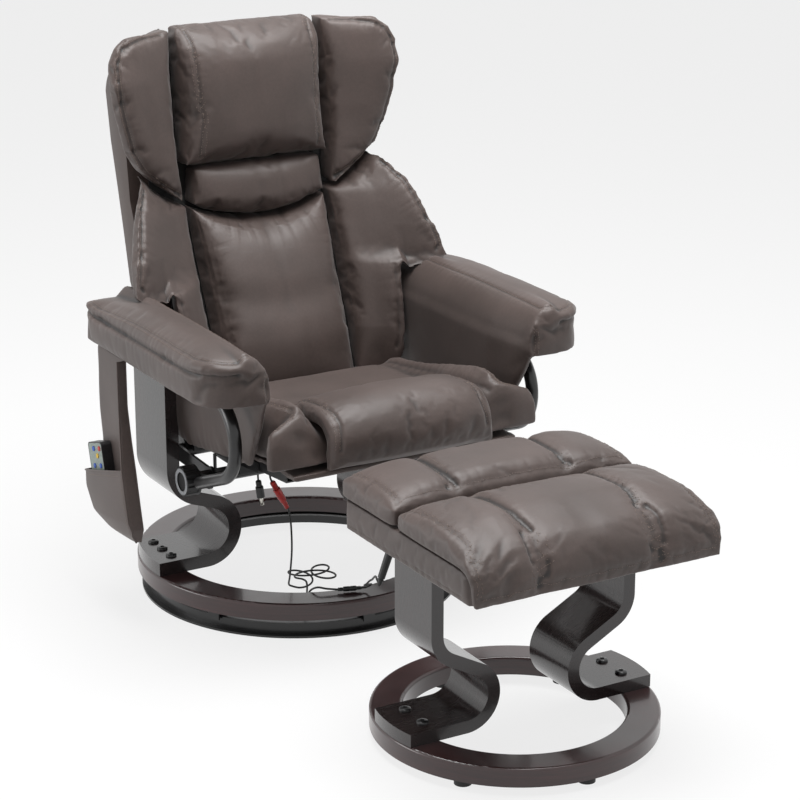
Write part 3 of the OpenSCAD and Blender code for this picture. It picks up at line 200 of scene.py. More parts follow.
def makePlain(name, colours, patternMm, roughness, bumpMm, settings=None):
    # Shared by the moulded, painted and metal finishes: cloudy tone, uneven gloss and a fine surface
    material, tree, shader, place = newMaterial(name, {"IOR": 1.5, **(settings or {})})
    tone = addNode(tree, "ShaderNodeTexNoise", {"Scale": 1000 / patternMm, "Detail": 4.0}, {"Vector": place})
    base = ramp(tree, tone.outputs["Fac"], [(0.35, colours[0]), (0.65, colours[1])])
    tree.links.new(base, shader.inputs["Base Color"])
    gloss = addNode(tree, "ShaderNodeMapRange", {"To Min": roughness * 0.8, "To Max": roughness * 1.25},
                    {"Value": tone.outputs["Fac"]})
    tree.links.new(gloss.outputs[0], shader.inputs["Roughness"])
    fine = addNode(tree, "ShaderNodeTexNoise", {"Scale": 1000 / (patternMm * 0.25), "Detail": 2.0},
                   {"Vector": place})
    bump = addNode(tree, "ShaderNodeBump", {"Strength": 0.25, "Distance": bumpMm * mm},
                   {"Height": fine.outputs["Fac"]})
    tree.links.new(bump.outputs["Normal"], shader.inputs["Normal"])
    return material


def makeThread(name):
    # Bonded polyester thread, twisted: satin, a little lighter than the hide
    return makePlain(name, ["#66574e", "#7a695e"], 1.2, 0.5, 0.1, {"Sheen Weight": 0.2, "Sheen Roughness": 0.4})


leather = makeLeather("pigmentedLeather", ["#3d322e", "#483c38", "#524541"], 2.2, 0.5)
coverLeather = makeLeather("splitLeatherCover", ["#382c28", "#423530", "#4b3d38"], 2.4, 0.52)
ringWood = makeLacqueredWood("lacqueredMahoganyRing", ["#220f10", "#341a1a", "#452324"], [0, 1], 0.25)
legWood = makeLacqueredWood("lacqueredDarkLeg", ["#140b0b", "#1e1212", "#281818"], [0, 2], 0.2)
# Powder coat, sprayed and baked: black, half gloss, with slight orange peel
powderCoat = makePlain("blackPowderCoat", ["#0d0d0e", "#161617"], 9, 0.3, 0.15, {"Coat Weight": 0.15})
# Chrome steel balls and pressed cage, ground bright
ballSteel = makePlain("groundBallSteel", ["#a9abae", "#c4c6c8"], 4, 0.22, 0.02, {"Metallic": 1.0})
# Plywood under a black non-woven dust cloth, stapled on: dull and fibrous
dustCloth = makePlain("blackDustCloth", ["#121110", "#1b1a18"], 2.5, 0.85, 0.3, {"Sheen Weight": 0.3})
# ABS, moulded with a fine spark texture
blackAbs = makePlain("mouldedBlackAbs", ["#121213", "#1b1b1c"], 3, 0.42, 0.1)
# Screened polycarbonate overlay, grey green and half matt
greyFace = makePlain("greyGreenOverlay", ["#7b8781", "#8a958f"], 5, 0.4, 0.05)
# Silicone rubber, moulded and tinted: dull and even
blueButton = makePlain("blueSilicone", ["#1f49a0", "#2a57b4"], 3, 0.5, 0.05)
redButton = makePlain("redSilicone", ["#a8221e", "#b92c25"], 3, 0.5, 0.05)
yellowButton = makePlain("yellowSilicone", ["#c9a31e", "#d6b02c"], 3, 0.5, 0.05)
# Soft PVC, moulded over the connector
redPvc = makePlain("redSoftPvc", ["#ab1a16", "#c0241e"], 3, 0.38, 0.08)
blackPvc = makePlain("blackSoftPvc", ["#0e0e0e", "#171717"], 3, 0.45, 0.08)
# Styrene rubber, moulded: black and dull
blackRubber = makePlain("mouldedBlackRubber", ["#101010", "#1a1a1a"], 4, 0.6, 0.15)
thread = makeThread("twistedThread")
# Silver grey printed disc on the knob
knobGrey = makePlain("silverGreyPaint", ["#85878a", "#96989b"], 4, 0.4, 0.05)
# Nickel plated brass tip
nickel = makePlain("nickelPlate", ["#b9b6ae", "#c9c6be"], 5, 0.2, 0.02, {"Metallic": 1.0})
print("materials made")

# Camera
bpy.ops.object.camera_add(location=(-1.9590, -3.7532, 1.7177),
                          rotation=(math.radians(90 - 18.01), 0, math.radians(-30.06)))
camera = bpy.context.object
camera.data.sensor_width = 36
camera.data.lens = 110.18
scene.camera = camera


# Leads
def smoothPath(points, steps):
    path = []
    for i in range(len(points) - 1):
        a, b, c, d = (numpy.array(points[min(max(i + k, 0), len(points) - 1)], float) for k in (-1, 0, 1, 2))
        for j in range(steps):
            s = j / steps
            path.append(0.5 * (2 * b + (c - a) * s + (2 * a - 5 * b + 4 * c - d) * s * s
                               + (3 * b - a - 3 * c + d) * s * s * s))
    return [Vector(p) * mm for p in path + [numpy.array(points[-1], float)]]


def pathLength(path):
    return sum((b - a).length for a, b in zip(path, path[1:]))


def leadCurve(name, path, diameter):
    curve = bpy.data.curves.new(name, "CURVE")
    curve.dimensions = "3D"
    line = curve.splines.new("POLY")
    line.points.add(len(path) - 1)
    for point, place in zip(line.points, path):
        point.co = (*place, 1)
    curve.bevel_depth = diameter / 2
    curve.bevel_resolution = 3
    curve.use_fill_caps = True
    return meshPiece(name, curve)


lead = {
    "diameter": 3.6 * mm,
    "stub": [[-87, -60, 259], [-87, -60, 252], [-91, -60, 238], [-90, -60, 226], [-87, -60, 220]],
    "drop": [[-57, -60, 164], [-54, -60, 158], [-50, -60, 130], [-49, -60, 80], [-51, -55, 30],
             [-48, -44, 8], [-42, -45.6, 3], [-36.3, -56, 2.8]],
    "run": [[-31, -64, 21.5], [-30, -80, 20], [-46, -110, 10], [-74, -150, 8], [-94, -184, 20], [-97, -206, 48],
            [-95, -218, 67], [-88, -231, 76], [-76, -242, 75], [-58, -251, 73]],
    "stool": [[-17.6, -264.4, 73], [-10, -268, 74], [-8, -282, 84], [-37, -310, 98], [-56, -350, 118],
              [-78, -400, 146], [-101, -450, 171], [-126, -500, 197], [-151, -550, 222], [-177, -600, 241],
              [-186, -622, 244], [-183, -625, 252]],
    "bundleMiddle": [7, -31, 2.8], "bundleRadius": 50, "bundleTurn": 210, "bundleRise": 4.6,
}


def bundleLoop():
    loop = []
    for i in range(97):
        turn = 360 * i / 96
        radius = lead["bundleRadius"] * math.cos(math.radians(2 * turn))
        angle = math.radians(lead["bundleTurn"] + turn)
        x, y, z = lead["bundleMiddle"]
        loop.append(Vector((x + radius * math.cos(angle), y + radius * math.sin(angle),
                            z + lead["bundleRise"] * turn / 90)) * mm)
    return loop


stubPath = smoothPath(lead["stub"], 3)
stubLead = leadCurve("stub_lead", stubPath, lead["diameter"])
mainPath = smoothPath(lead["drop"], 4)[:-1] + bundleLoop() + smoothPath(lead["run"], 5)
mainLead = leadCurve("bundled_lead", mainPath, lead["diameter"])
stoolPath = smoothPath(lead["stool"], 5)
stoolLead = leadCurve("footstool_lead", stoolPath, lead["diameter"])
makeActive(stoolLead)
bpy.ops.object.convert(target="MESH")
for piece in (stubLead, mainLead, stoolLead):
    piece.data.materials.append(blackPvc)


# Turned pieces: a profile of (radius, distance) rows spun about the line from start to end
def turnedPiece(name, profile, start, end, steps=24):
    mesh = bpy.data.meshes.new(name)
    mesh.from_pydata([(r * mm, 0, d * mm) for r, d in profile], [(i, i + 1) for i in range(len(profile) - 1)], [])
    piece = meshPiece(name, mesh)
    makeActive(piece)
    bpy.ops.object.mode_set(mode="EDIT")
    bpy.ops.mesh.select_all(action="SELECT")
    bpy.ops.mesh.spin(steps=steps, angle=2 * math.pi, center=(0, 0, 0), axis=(0, 0, 1))
    bpy.ops.mesh.select_all(action="SELECT")
    bpy.ops.mesh.remove_doubles(threshold=0.01 * mm)
    bpy.ops.mesh.normals_make_consistent(inside=False)
    bpy.ops.object.mode_set(mode="OBJECT")
    start, end = Vector(start) * mm, Vector(end) * mm
    turn = (end - start).to_track_quat("Z", "Y").to_matrix().to_4x4()
    piece.data.transform(Matrix.Translation(start) @ turn)
    return piece


def ribbed(radius, start, end, count, depth):
    rows = []
    for i in range(count):
        at = start + (end - start) * i / count
        pitch = (end - start) / count
        rows += [(radius, at), (radius, at + pitch * 0.55), (radius - depth, at + pitch * 0.65),
                 (radius - depth, at + pitch * 0.9)]
    return rows


plugs = [
    # name, CAD node, body, slot, material, start, end, profile
    ("red_connector", "red_plug", "chair_base", "red_plastic", redPvc, (-87, -60, 220), (-57, -60, 164),
     [(0, 0), (3.4, 0), (4.6, 1.5)] + ribbed(5.4, 3, 17, 5, 0.9)
     + [(7, 18), (7, 38), (6.2, 40), (6.2, 46), (5, 48), (4.4, 60), (4, 63.3), (0, 63.3)]),
    ("power_connector", "dc_plug", "chair_base", "black_plastic", blackAbs, (-149, -129, 255), (-142, -129, 207),
     [(0, 0), (3, 0), (4.4, 1)] + ribbed(5.2, 2, 11, 4, 0.8)
     + [(6.9, 12.5), (7.1, 14), (7.1, 31), (6.8, 32.5), (4.2, 33), (0, 33)]),
    ("power_tip", None, "chair_base", "bearing_steel", nickel, (-144.3, -129, 223), (-142, -129, 207),
     [(0, -1), (3.9, -1), (3.9, 14.5), (3.4, 15.2), (1.6, 15.4), (1.6, 12), (0, 12)]),
    ("inline_connector", "lead_coupler", "chair_base", "black_plastic", blackAbs,
     (-58, -251, 73), (-18, -264.3, 73),
     [(0, 0), (2.6, 0)] + ribbed(3.4, 1, 9, 3, 0.7)
     + [(4.5, 10), (4.5, 20.5), (4, 21), (4, 22), (4.5, 22.5), (4.5, 32)]
     + ribbed(3.4, 33, 41, 3, 0.7) + [(2.6, 42.1), (0, 42.1)]),
    ("lead_strain_relief", None, "chair_base", "black_plastic", blackPvc, (-87, -60, 259.5), (-87, -60, 247),
     [(0, 0), (3.9, 0)] + ribbed(3.7, 0.5, 8, 3, 0.8) + [(3, 9), (2.5, 12), (1.95, 13.5)]),
    ("footstool_strain_relief", None, "stand", "black_plastic", blackPvc, (-179, -625, 262), (-187.5, -625, 240),
     [(0, -2), (5.2, -2)] + ribbed(5.2, -1, 16, 5, 1) + [(4, 17), (3, 22), (1.95, 24)]),
]
connector = {}
for name, node, body, slot, material, start, end, profile in plugs:
    connector[name] = turnedPiece(name, profile, start, end)
    finishPiece(connector[name], body, material, 40)
    if node:
        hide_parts(node)

for piece, nodes in ((stubLead, ["lead_stub"]), (mainLead, ["lead_drop", "lead_bundle"])):
    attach(piece, "chair_base")
    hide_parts(*nodes)
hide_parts("lead_stool")
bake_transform(stoolLead)
print("leads laid", round(pathLength(stubPath), 3), round(pathLength(mainPath), 3), round(pathLength(stoolPath), 3))


# Soft work: numbers, then remeshing and stuffing, then seams, puckers and creases
noiseCells = numpy.random.default_rng(11).random((32, 32, 32))


def cellNoise(points):
    whole = numpy.floor(points).astype(int)
    part = points - whole
    part = part * part * (3 - 2 * part)
    total = 0
    for corner in range(8):
        bits = [(corner >> k) & 1 for k in range(3)]
        weight = 1
        for k in range(3):
            weight = weight * (part[:, k] if bits[k] else 1 - part[:, k])
        at = (whole + bits) % 32
        total = total + weight * noiseCells[at[:, 0], at[:, 1], at[:, 2]]
    return total * 2 - 1


# Three turned layers, so that no row of cells shows
def softNoise(points, sizes, seed=0):
    cell = points / (numpy.array(sizes, float) * mm) + seed * 7.31
    total = 0
    for angle, axis in ((0.6, (1, 0.3, 0.2)), (1.9, (0.2, 1, 0.4)), (3.1, (0.5, 0.2, 1))):
        turn = numpy.array(Matrix.Rotation(angle, 3, Vector(axis)))
        total = total + cellNoise(cell @ turn + angle * 3)
    return total / 1.9


# The hide is blown up like cloth from the voxels, held where it rests on its board
stuffing = {"heldFacing": 0.6, "quality": 3, "stiffness": 12, "bending": 0.4, "spareCloth": 0.012, "pressure": 4,
            "frames": 20}


def soften(piece, iterations, group=""):
    smooth = piece.modifiers.new("soften", "SMOOTH")
    smooth.iterations = iterations
    smooth.vertex_group = group
    applyModifiers(piece)


def stuff(piece, look):
    rest = readPoints(piece)
    normals = readPoints(piece, "normal")
    held = numpy.zeros(len(rest), bool)
    for direction in look["rests"]:
        held |= normals @ numpy.array(direction) > stuffing["heldFacing"]
    group = piece.vertex_groups.new(name="held")
    group.add([int(i) for i in numpy.where(held)[0]], 1.0, "REPLACE")
    cloth = piece.modifiers.new("stuffing", "CLOTH")
    cloth.settings.quality = stuffing["quality"]
    cloth.settings.tension_stiffness = stuffing["stiffness"]
    cloth.settings.compression_stiffness = stuffing["stiffness"]
    cloth.settings.bending_stiffness = stuffing["bending"]
    cloth.settings.shrink_min = -stuffing["spareCloth"]
    cloth.settings.use_pressure = True
    cloth.settings.uniform_pressure_force = stuffing["pressure"]
    cloth.settings.effector_weights.gravity = 0
    cloth.settings.vertex_group_mass = "held"
    cloth.collision_settings.use_collision = False
    cloth.collision_settings.use_self_collision = False
    cloth.point_cache.frame_start = 1
    cloth.point_cache.frame_end = stuffing["frames"]
    for step in range(stuffing["frames"]):
        scene.frame_set(step + 1)
    applyModifiers(piece)
    move = readPoints(piece) - rest
    size = numpy.linalg.norm(move, axis=1, keepdims=True) + 1e-9
    cap = look["cap"] * mm
    writePoints(piece, rest + move / size * cap * numpy.tanh(size / cap))
    piece.vertex_groups.clear()
    scene.frame_set(1)


def softPad(name, nodes, look):
    pad = copyOfNodes(name, nodes)
    remesh = pad.modifiers.new("voxels", "REMESH")
    remesh.mode = "VOXEL"
    remesh.voxel_size = look.get("voxel", 5) * mm
    applyModifiers(pad)
    writePoints(pad, readPoints(pad) - readPoints(pad, "normal") * look["inset"] * mm)
    soften(pad, look.get("soften", 4))
    stuff(pad, look)
    finer = pad.modifiers.new("finer", "SUBSURF")
    finer.levels = finer.render_levels = 1
    applyModifiers(pad)
    return pad


def treeOf(piece):
    shape = bmesh.new()
    shape.from_mesh(piece.data)
    tree = BVHTree.FromBMesh(shape)
    shape.free()
    return tree


def alongLine(points, step):
    points = [Vector(p) for p in points]
    line = []
    for a, b in zip(points, points[1:]):
        count = max(1, round((b - a).length / step))
        line += [a.lerp(b, i / count) for i in range(count)]
    return line + [points[-1]]


# Points of a guide line, in millimetres, laid on a piece: straight along cast, or to the nearest place
def laidLine(tree, guide, cast=None, step=2.0):
    line, ups = [], []
    for point in alongLine(guide, step):
        point = point * mm
        if cast:
            ray = Vector(cast).normalized()
            hit, up, _, _ = tree.ray_cast(point - ray * 0.4, ray)
        else:
            hit, up, _, _ = tree.find_nearest(point)
        if hit is not None and (not line or (hit - line[-1]).length < 0.05):
            line.append(hit)
            ups.append(up)
    return line, ups


# For each point within reach of a line, in metres: how far away it is, and how far along. The rest stay far away
def seamField(points, line, reach):
    line = numpy.array([tuple(p) for p in line])
    run = numpy.concatenate([[0], numpy.cumsum(numpy.linalg.norm(numpy.diff(line, axis=0), axis=1))])
    near = numpy.where(((points > line.min(0) - reach) & (points < line.max(0) + reach)).all(1))[0]
    away = numpy.full(len(points), 9.0)
    along = numpy.zeros(len(points))
    batch = 3000
    for start in range(0, len(near), batch):
        some = near[start:start + batch]
        gaps = numpy.linalg.norm(points[some, None] - line[None], axis=2)
        best = gaps.argmin(1)
        away[some] = gaps[numpy.arange(len(some)), best]
        along[some] = run[best]
    return away, along


# A seam sinks along its line, with puckers beside it at an uneven pitch.
# Wrinkles are rows of cell sizes, height, seed and where
seamReach = 0.05  # metres, past which a seam has no effect


def sewSeams(piece, seams, wrinkles):
    tree = treeOf(piece)
    points, normals = readPoints(piece), readPoints(piece, "normal")
    move = numpy.zeros(len(points))
    for number, seam in enumerate(seams):
        line, _ = laidLine(tree, seam["guide"], seam.get("cast"))
        if len(line) < 3:
            print("no line for seam", piece.name, number)
            continue
        away, along = seamField(points, line, seamReach)
        depth, width = seam["depth"] * mm, seam.get("width", 5) * mm
        move -= depth * numpy.exp(-(away / width) ** 2)
        pucker, pitch, reach = seam["pucker"], seam["pitch"], seam["reach"]
        course = numpy.stack([along, along * 0, along * 0], 1)
        wobble = softNoise(course, [22, 22, 22], number + len(piece.name))
        fade = 0.55 + 0.45 * softNoise(course, [45, 45, 45], number + 3)
        wave = numpy.sin(2 * math.pi * (along / (pitch * mm) + 0.55 * wobble))
        valley = ((0.5 + 0.5 * wave) ** 2.5) * numpy.exp(-(away / (reach * mm)) ** 1.6) * (away < seamReach)
        move -= pucker * mm * fade * valley * numpy.clip(away / (3 * mm), 0, 1)
    for size, height, seed, where in wrinkles:
        folds = softNoise(points, size, seed)
        strength = where(points / mm) if where else 1
        move += height * mm * strength * (folds + 0.35 * (1 - 2 * numpy.abs(folds)))
    writePoints(piece, points + normals * move[:, None])


# How hollow each place is, from 0 on a ridge, through 0.5, to 1 in a crease: the leather's colour follows it as
# painted shade, darker in creases, and a little lighter on ridges as a painted highlight
foldGain = 0.65


def markFolds(piece):
    points, normals = readPoints(piece), readPoints(piece, "normal")
    edges = numpy.empty(len(piece.data.edges) * 2, numpy.int32)
    piece.data.edges.foreach_get("vertices", edges)
    edges = edges.reshape(-1, 2)

    def around(values):
        total = numpy.zeros_like(values)
        count = numpy.zeros(len(values))
        for a, b in ((0, 1), (1, 0)):
            numpy.add.at(total, edges[:, a], values[edges[:, b]])
            numpy.add.at(count, edges[:, a], 1)
        return total / numpy.maximum(count, 1).reshape([-1] + [1] * (values.ndim - 1))

    wide = points
    for _ in range(5):
        wide = around(wide)
    hollow = ((wide - points) * normals).sum(1) / mm
    for _ in range(2):
        hollow = around(hollow)
    value = numpy.clip(0.5 + hollow * foldGain, 0, 1)
    mark = piece.data.attributes.new("fold", "FLOAT", "POINT")
    mark.data.foreach_set("value", value.astype(numpy.float32))


# Stitches: one bead of thread, repeated along rows beside the seams
stitch = {"length": 3.2, "pitch": 4.6, "thick": 0.8, "raised": 0.22}
bpy.ops.mesh.primitive_uv_sphere_add(segments=6, ring_count=4, radius=1, rotation=(0, math.pi / 2, 0))
stitchShape = bpy.context.object
stitchShape.name = "stitch_shape"
bpy.ops.object.transform_apply(location=True, rotation=True, scale=True)
stitchShape.data.transform(Matrix.Diagonal((stitch["length"] / 2 * mm, stitch["thick"] / 2 * mm,
                                            stitch["thick"] / 2 * mm, 1)))


def sewStitches(name, piece, rows, body):
    tree = treeOf(piece)
    work = bmesh.new()
    for guide, cast, sideways in rows:
        line, ups = laidLine(tree, guide, cast, stitch["pitch"] / 4)
        if len(line) < 8:
            continue
        for _ in range(6):
            line = line[:1] + [(a + b * 2 + c) / 4 for a, b, c in zip(line, line[1:], line[2:])] + line[-1:]
        run, due = 0, stitch["pitch"] * mm
        for i in range(1, len(line) - 1):
            run += (line[i] - line[i - 1]).length
            if run < due:
                continue
            due += stitch["pitch"] * mm
            ahead = (line[min(i + 2, len(line) - 1)] - line[max(i - 2, 0)])
            if ahead.length < 1e-5:
                continue
            ahead.normalize()
            up = (ups[i] - ahead * ups[i].dot(ahead)).normalized()
            across = up.cross(ahead)
            place, raised, _, _ = tree.find_nearest(line[i] + across * sideways * mm)
            frameOf = Matrix((ahead, across, up)).transposed().to_4x4()
            frameOf.translation = place + raised * stitch["thick"] * stitch["raised"] * mm
            before = len(work.verts)
            work.from_mesh(stitchShape.data)
            work.verts.ensure_lookup_table()
            bmesh.ops.transform(work, matrix=frameOf, verts=work.verts[before:])
    mesh = bpy.data.meshes.new(name)
    work.to_mesh(mesh)
    work.free()
    sewn = meshPiece(name, mesh)
    return finishPiece(sewn, body, thread)


def finishPad(pad, nodes, seams, wrinkles, body):
    sewSeams(pad, seams, wrinkles)
    markFolds(pad)
    finishPiece(pad, body, leather)
    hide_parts(*nodes)
    rows = []
    for seam in seams:
        for sideways in seam.get("rows", ()):
            rows.append((seam["guide"], seam.get("cast"), sideways))
    if rows:
        sewStitches(pad.name + "_stitches", pad, rows, body)
    print(pad.name, len(pad.data.vertices), "points")


def mirrored(points, side):
    return [(side * x, y, z) for x, y, z in points]


# The back board's face: across, up, and how far forward of it
board = {"y": 45, "z": 372, "knee": 700, "leanLow": 23.7, "leanHigh": 7}


def onBoard(x, z, t):
    y = board["y"] + (min(z, board["knee"]) - board["z"]) * math.tan(math.radians(board["leanLow"]))
    return (x, y + max(z - board["knee"], 0) * math.tan(math.radians(board["leanHigh"])) - t, z)


def fromTable(table, x):
    return float(numpy.interp(x, [row[0] for row in table], [row[1] for row in table]))


backward = (0, 1, 0)
down = (0, 0, -1)

# Head pillow
pillow = {"inset": 4, "cap": 9, "rests": [(0, 0.99, -0.1)], "fill": 0.85}
pad = softPad("head_cushion", ["head_pillow"], pillow)
seams = []
for side in (-1, 1):
    overTop = [onBoard(side * x, z, t) for x, z, t in ((127, 1004, 80), (126, 1016, 55), (126, 1016, 20))]
    seams.append(dict(guide=[onBoard(side * 128, z, 92) for z in range(768, 990, 12)] + overTop,
                      depth=2.5, width=4, pucker=0.8, pitch=14, reach=14, rows=(-4, 4)))
wrinkles = [([26, 90, 110], 0.9, 1, None),
            ([60, 60, 34], 0.5, 2, lambda p: numpy.clip((p[:, 2] - 940) / 40, 0, 1))]
finishPad(pad, ["head_pillow"], seams, wrinkles, "backrest")

# Neck roll, gathered along its lower seam, which sags to the middle
neck = {"inset": 4, "cap": 9, "rests": [(0, 0.95, -0.3)], "fill": 0.75,
        "halfWidth": 137, "seamZ": 690, "dip": 28}
pad = softPad("neck_cushion", ["neck_roll"], neck)


def smileZ(x):
    return neck["seamZ"] - neck["dip"] * (1 - (x / neck["halfWidth"]) ** 2)


seams = [dict(guide=[onBoard(x, smileZ(x) + 5, 62) for x in range(-126, 127, 6)], depth=0, pucker=1.3, pitch=21,
              reach=30)]
wrinkles = [([22, 80, 120], 1.0, 5, None)]
finishPad(pad, ["neck_roll"], seams, wrinkles, "backrest")

# Centre panel of the back
panel = {"inset": 4, "cap": 10, "rests": [(0, 0.91, -0.4)], "fill": 0.7,
         "tuck": 44, "faceHalf": 112, "faceFade": 30, "facing": -0.5, "smoothing": 240}
pad = softPad("back_cushion", ["back_panel"], panel)


# The lowest part is tucked down behind the seat, so that no light comes through there
tuck = {"below": 450, "over": 50}


def tuckDown(piece, drop):
    points = readPoints(piece)
    points[:, 2] -= drop * mm * numpy.clip((tuck["below"] * mm - points[:, 2]) / (tuck["over"] * mm), 0, 1)
    writePoints(piece, points)


tuckDown(pad, panel["tuck"])
# The face is evened out, because the board's bends would show as bands
points, normals = readPoints(pad), readPoints(pad, "normal")
face = numpy.clip((panel["faceHalf"] * mm - numpy.abs(points[:, 0])) / (panel["faceFade"] * mm), 0, 1)
face *= normals[:, 1] < panel["facing"]
even = pad.vertex_groups.new(name="face")
for i in numpy.where(face > 0)[0]:
    even.add([int(i)], float(face[i]), "REPLACE")
soften(pad, panel["smoothing"], "face")
pad.vertex_groups.clear()
seams = [dict(guide=[onBoard(x, smileZ(x) - 4, 70) for x in range(-128, 129, 6)], depth=0, pucker=1.7, pitch=24,
              reach=36)]
for side in (-1, 1):
    seams.append(dict(guide=[onBoard(side * 127, z, 72) for z in range(410, 670, 12)], depth=0, pucker=0.9,
                      pitch=26, reach=20))
wrinkles = [([30, 90, 190], 1.0, 8, None),
            ([90, 60, 40], 0.5, 9, lambda p: numpy.clip((480 - p[:, 2]) / 60, 0, 1))]
finishPad(pad, ["back_panel"], seams, wrinkles, "backrest")

# Lower wings of the back
wing = {"inset": 4, "cap": 9, "rests": [(0, 0.91, -0.4)], "fill": 0.7, "tuck": 40,
        "tabFrom": 232, "tabOver": 12, "tabDrop": 15, "tabTop": 630, "tabFade": 40,
        "out": [[398, 208], [410, 222], [432, 228], [567, 231], [577, 300], [591, 317], [625, 309], [705, 280],
                [752, 243]]}
for side, word in ((-1, "right"), (1, "left")):
    nodes = [f"back_wing_{word}"]
    pad = softPad(f"side_cushion_{word}", nodes, wing)
    tuckDown(pad, wing["tuck"])
    # The tab over the arm hangs down onto it
    points = readPoints(pad)
    wide = numpy.clip((numpy.abs(points[:, 0]) - wing["tabFrom"] * mm) / (wing["tabOver"] * mm), 0, 1)
    low = numpy.clip((wing["tabTop"] * mm - points[:, 2]) / (wing["tabFade"] * mm), 0, 1)
    points[:, 2] -= wing["tabDrop"] * mm * wide * low
    writePoints(pad, points)
    outer = [(fromTable(wing["out"], z) - 16, -400, z) for z in range(586, 740, 8)]
    lower = [(fromTable(wing["out"], z) - 15, -400, z) for z in range(412, 566, 10)]
    seams = [dict(guide=mirrored(outer, side), cast=backward, depth=3, width=4.5, pucker=1.2, pitch=17, reach=24,
                  rows=(-4, 4)),
             dict(guide=mirrored(lower, side), cast=backward, depth=2, width=4.5, pucker=0.8, pitch=20, reach=20)]
    wrinkles = [([40, 90, 150], 1.7, 12 + side, None), ([70, 70, 60], 0.9, 15 + side, None)]
    finishPad(pad, nodes, seams, wrinkles, "backrest")

# Head wings
headWing = {"inset": 4, "cap": 9, "rests": [(0, 0.99, -0.1)], "fill": 0.8,
            "out": [[700, 156], [728, 199], [764, 245], [800, 266], [866, 284], [923, 293], [960, 290], [985, 275],
                    [1004, 250]]}
for side, word in ((-1, "right"), (1, "left")):
    nodes = [f"head_wing_{word}"]
    pad = softPad(f"head_side_{word}", nodes, headWing)
    outer = [(fromTable(headWing["out"], z) - 17, -400, z) for z in range(712, 976, 8)]
    outer += [(258, -400, 984), (235, -400, 991), (205, -400, 995), (170, -400, 996)]
    seams = [dict(guide=mirrored(outer, side), cast=backward, depth=3, width=4.5, pucker=1.0, pitch=16, reach=20,
                  rows=(-4, 4))]
    wrinkles = [([34, 80, 120], 1.1, 22 + side, None), ([60, 60, 50], 0.8, 25 + side, None)]
    finishPad(pad, nodes, seams, wrinkles, "backrest")

# Arms: the pad, its band and the side panel under one skin
arm = {"inset": 3, "cap": 7, "rests": [(0, 0, -1)], "fill": 0.85, "soften": 5,
       "padZ": 540, "out": 372, "in": 262, "front": -394, "back": 116, "frontRadius": 62, "backRadius": 16,
       "innerRadius": 14, "turnIn": -270, "turnOver": 90, "frontIn": 11, "frontInOver": 14,
       "roundAt": (306, 500), "roundTop": 577, "panelIn": 237, "ledgeX": 264, "ledgeZ": 538, "smoothing": 12,
       # a place is drawn right out to the arc where it faces away from the ends, and not at once beside the axes
       "endFacing": 0.7, "endOver": 0.4, "blendAcross": 6, "blendUp": 4}


def armOutline(inset, z):
    x0, x1, y0, y1 = arm["in"] + inset, arm["out"] - inset, arm["front"] + inset, arm["back"] - inset
    rf, rb, ri = arm["frontRadius"] - inset * 0.7, arm["backRadius"] - inset * 0.7, arm["innerRadius"]
    line = []
    for cx, cy, r, start in ((x1 - rf, y0 + rf, rf, 270), (x1 - rb, y1 - rb, rb, 0), (x0 + ri, y1 - ri, ri, 90),
                             (x0 + ri, y0 + ri, ri, 180)):
        for k in range(7):
            a = math.radians(start + 15 * k)
            line.append((cx + r * math.cos(a), cy + r * math.sin(a), z))
    return line + line[:1]


# How far a place is into the stretch at the front, where the inner side stands further out
def frontShare(points):
    return numpy.clip((arm["turnIn"] * mm - points[:, 1]) / (arm["turnOver"] * mm), 0, 1)


# The hide goes from the pad over to the side panel in one big round: the step between them is drawn out to an arc,
# and the ends keep their share of the way to it
def roundInnerTop(points, normals, side):
    centreX, centreZ = arm["roundAt"]
    x, z = points[:, 0] * side / mm, points[:, 2] / mm
    reachX = centreX - arm["panelIn"] - arm["frontIn"] * frontShare(points)
    reachZ = arm["roundTop"] - centreZ
    across, up = (centreX - x) / reachX, (z - centreZ) / reachZ
    far = numpy.hypot(across, up) + 1e-9
    run, rise = across / far + 1e-9, up / far + 1e-9
    low = numpy.minimum(1 / run, (arm["ledgeZ"] - centreZ) / reachZ / rise)
    high = numpy.minimum((centreX - arm["ledgeX"]) / reachX / run, 1 / rise)
    edge = (across > 0) & (up > 0)
    stretch = 1 / numpy.maximum(low, high)
    facing = numpy.clip((arm["endFacing"] - numpy.abs(normals[:, 1])) / arm["endOver"], 0, 1)
    blend = numpy.clip(numpy.minimum(across * arm["blendAcross"], up * arm["blendUp"]), 0, 1)
    stretch = (stretch + (1 / far - stretch) * facing * blend)[edge]
    points[edge, 0] = side * mm * (centreX - across[edge] * stretch * reachX[edge])
    points[edge, 2] = mm * (centreZ + up[edge] * stretch * reachZ)


for side, word in ((-1, "right"), (1, "left")):
    nodes = [f"arm_body_{word}", f"arm_pad_{word}"]
    pad = softPad(f"arm_{word}", nodes, arm)
    points = readPoints(pad)
    near = numpy.clip((arm["in"] * mm - numpy.abs(points[:, 0])) / (arm["frontInOver"] * mm), 0, 1)
    points[:, 0] += side * near * frontShare(points) * arm["frontIn"] * mm
    roundInnerTop(points, readPoints(pad, "normal"), side)
    writePoints(pad, points)
    soften(pad, arm["smoothing"])
    rim = armOutline(0, arm["padZ"])[:14]  # round the front, outside and back, and open along the inner side
    seams = [dict(guide=mirrored(rim, side), depth=6, width=5, pucker=1.1, pitch=18, reach=16),
             dict(guide=mirrored(armOutline(15, 600), side), cast=down, depth=1.6, width=4, pucker=0.6, pitch=17,
                  reach=14, rows=(-3.5, 3.5)),
             dict(guide=mirrored([(254, -392, z) for z in range(488, 540, 6)], side), depth=2, width=4, pucker=0.5,
                  pitch=14, reach=12, rows=(-3.5, 3.5))]
    wrinkles = [([70, 110, 60], 1.0, 32 + side, None), ([34, 60, 40], 0.4, 35 + side, None)]
    finishPad(pad, nodes, seams, wrinkles, "chair_base")

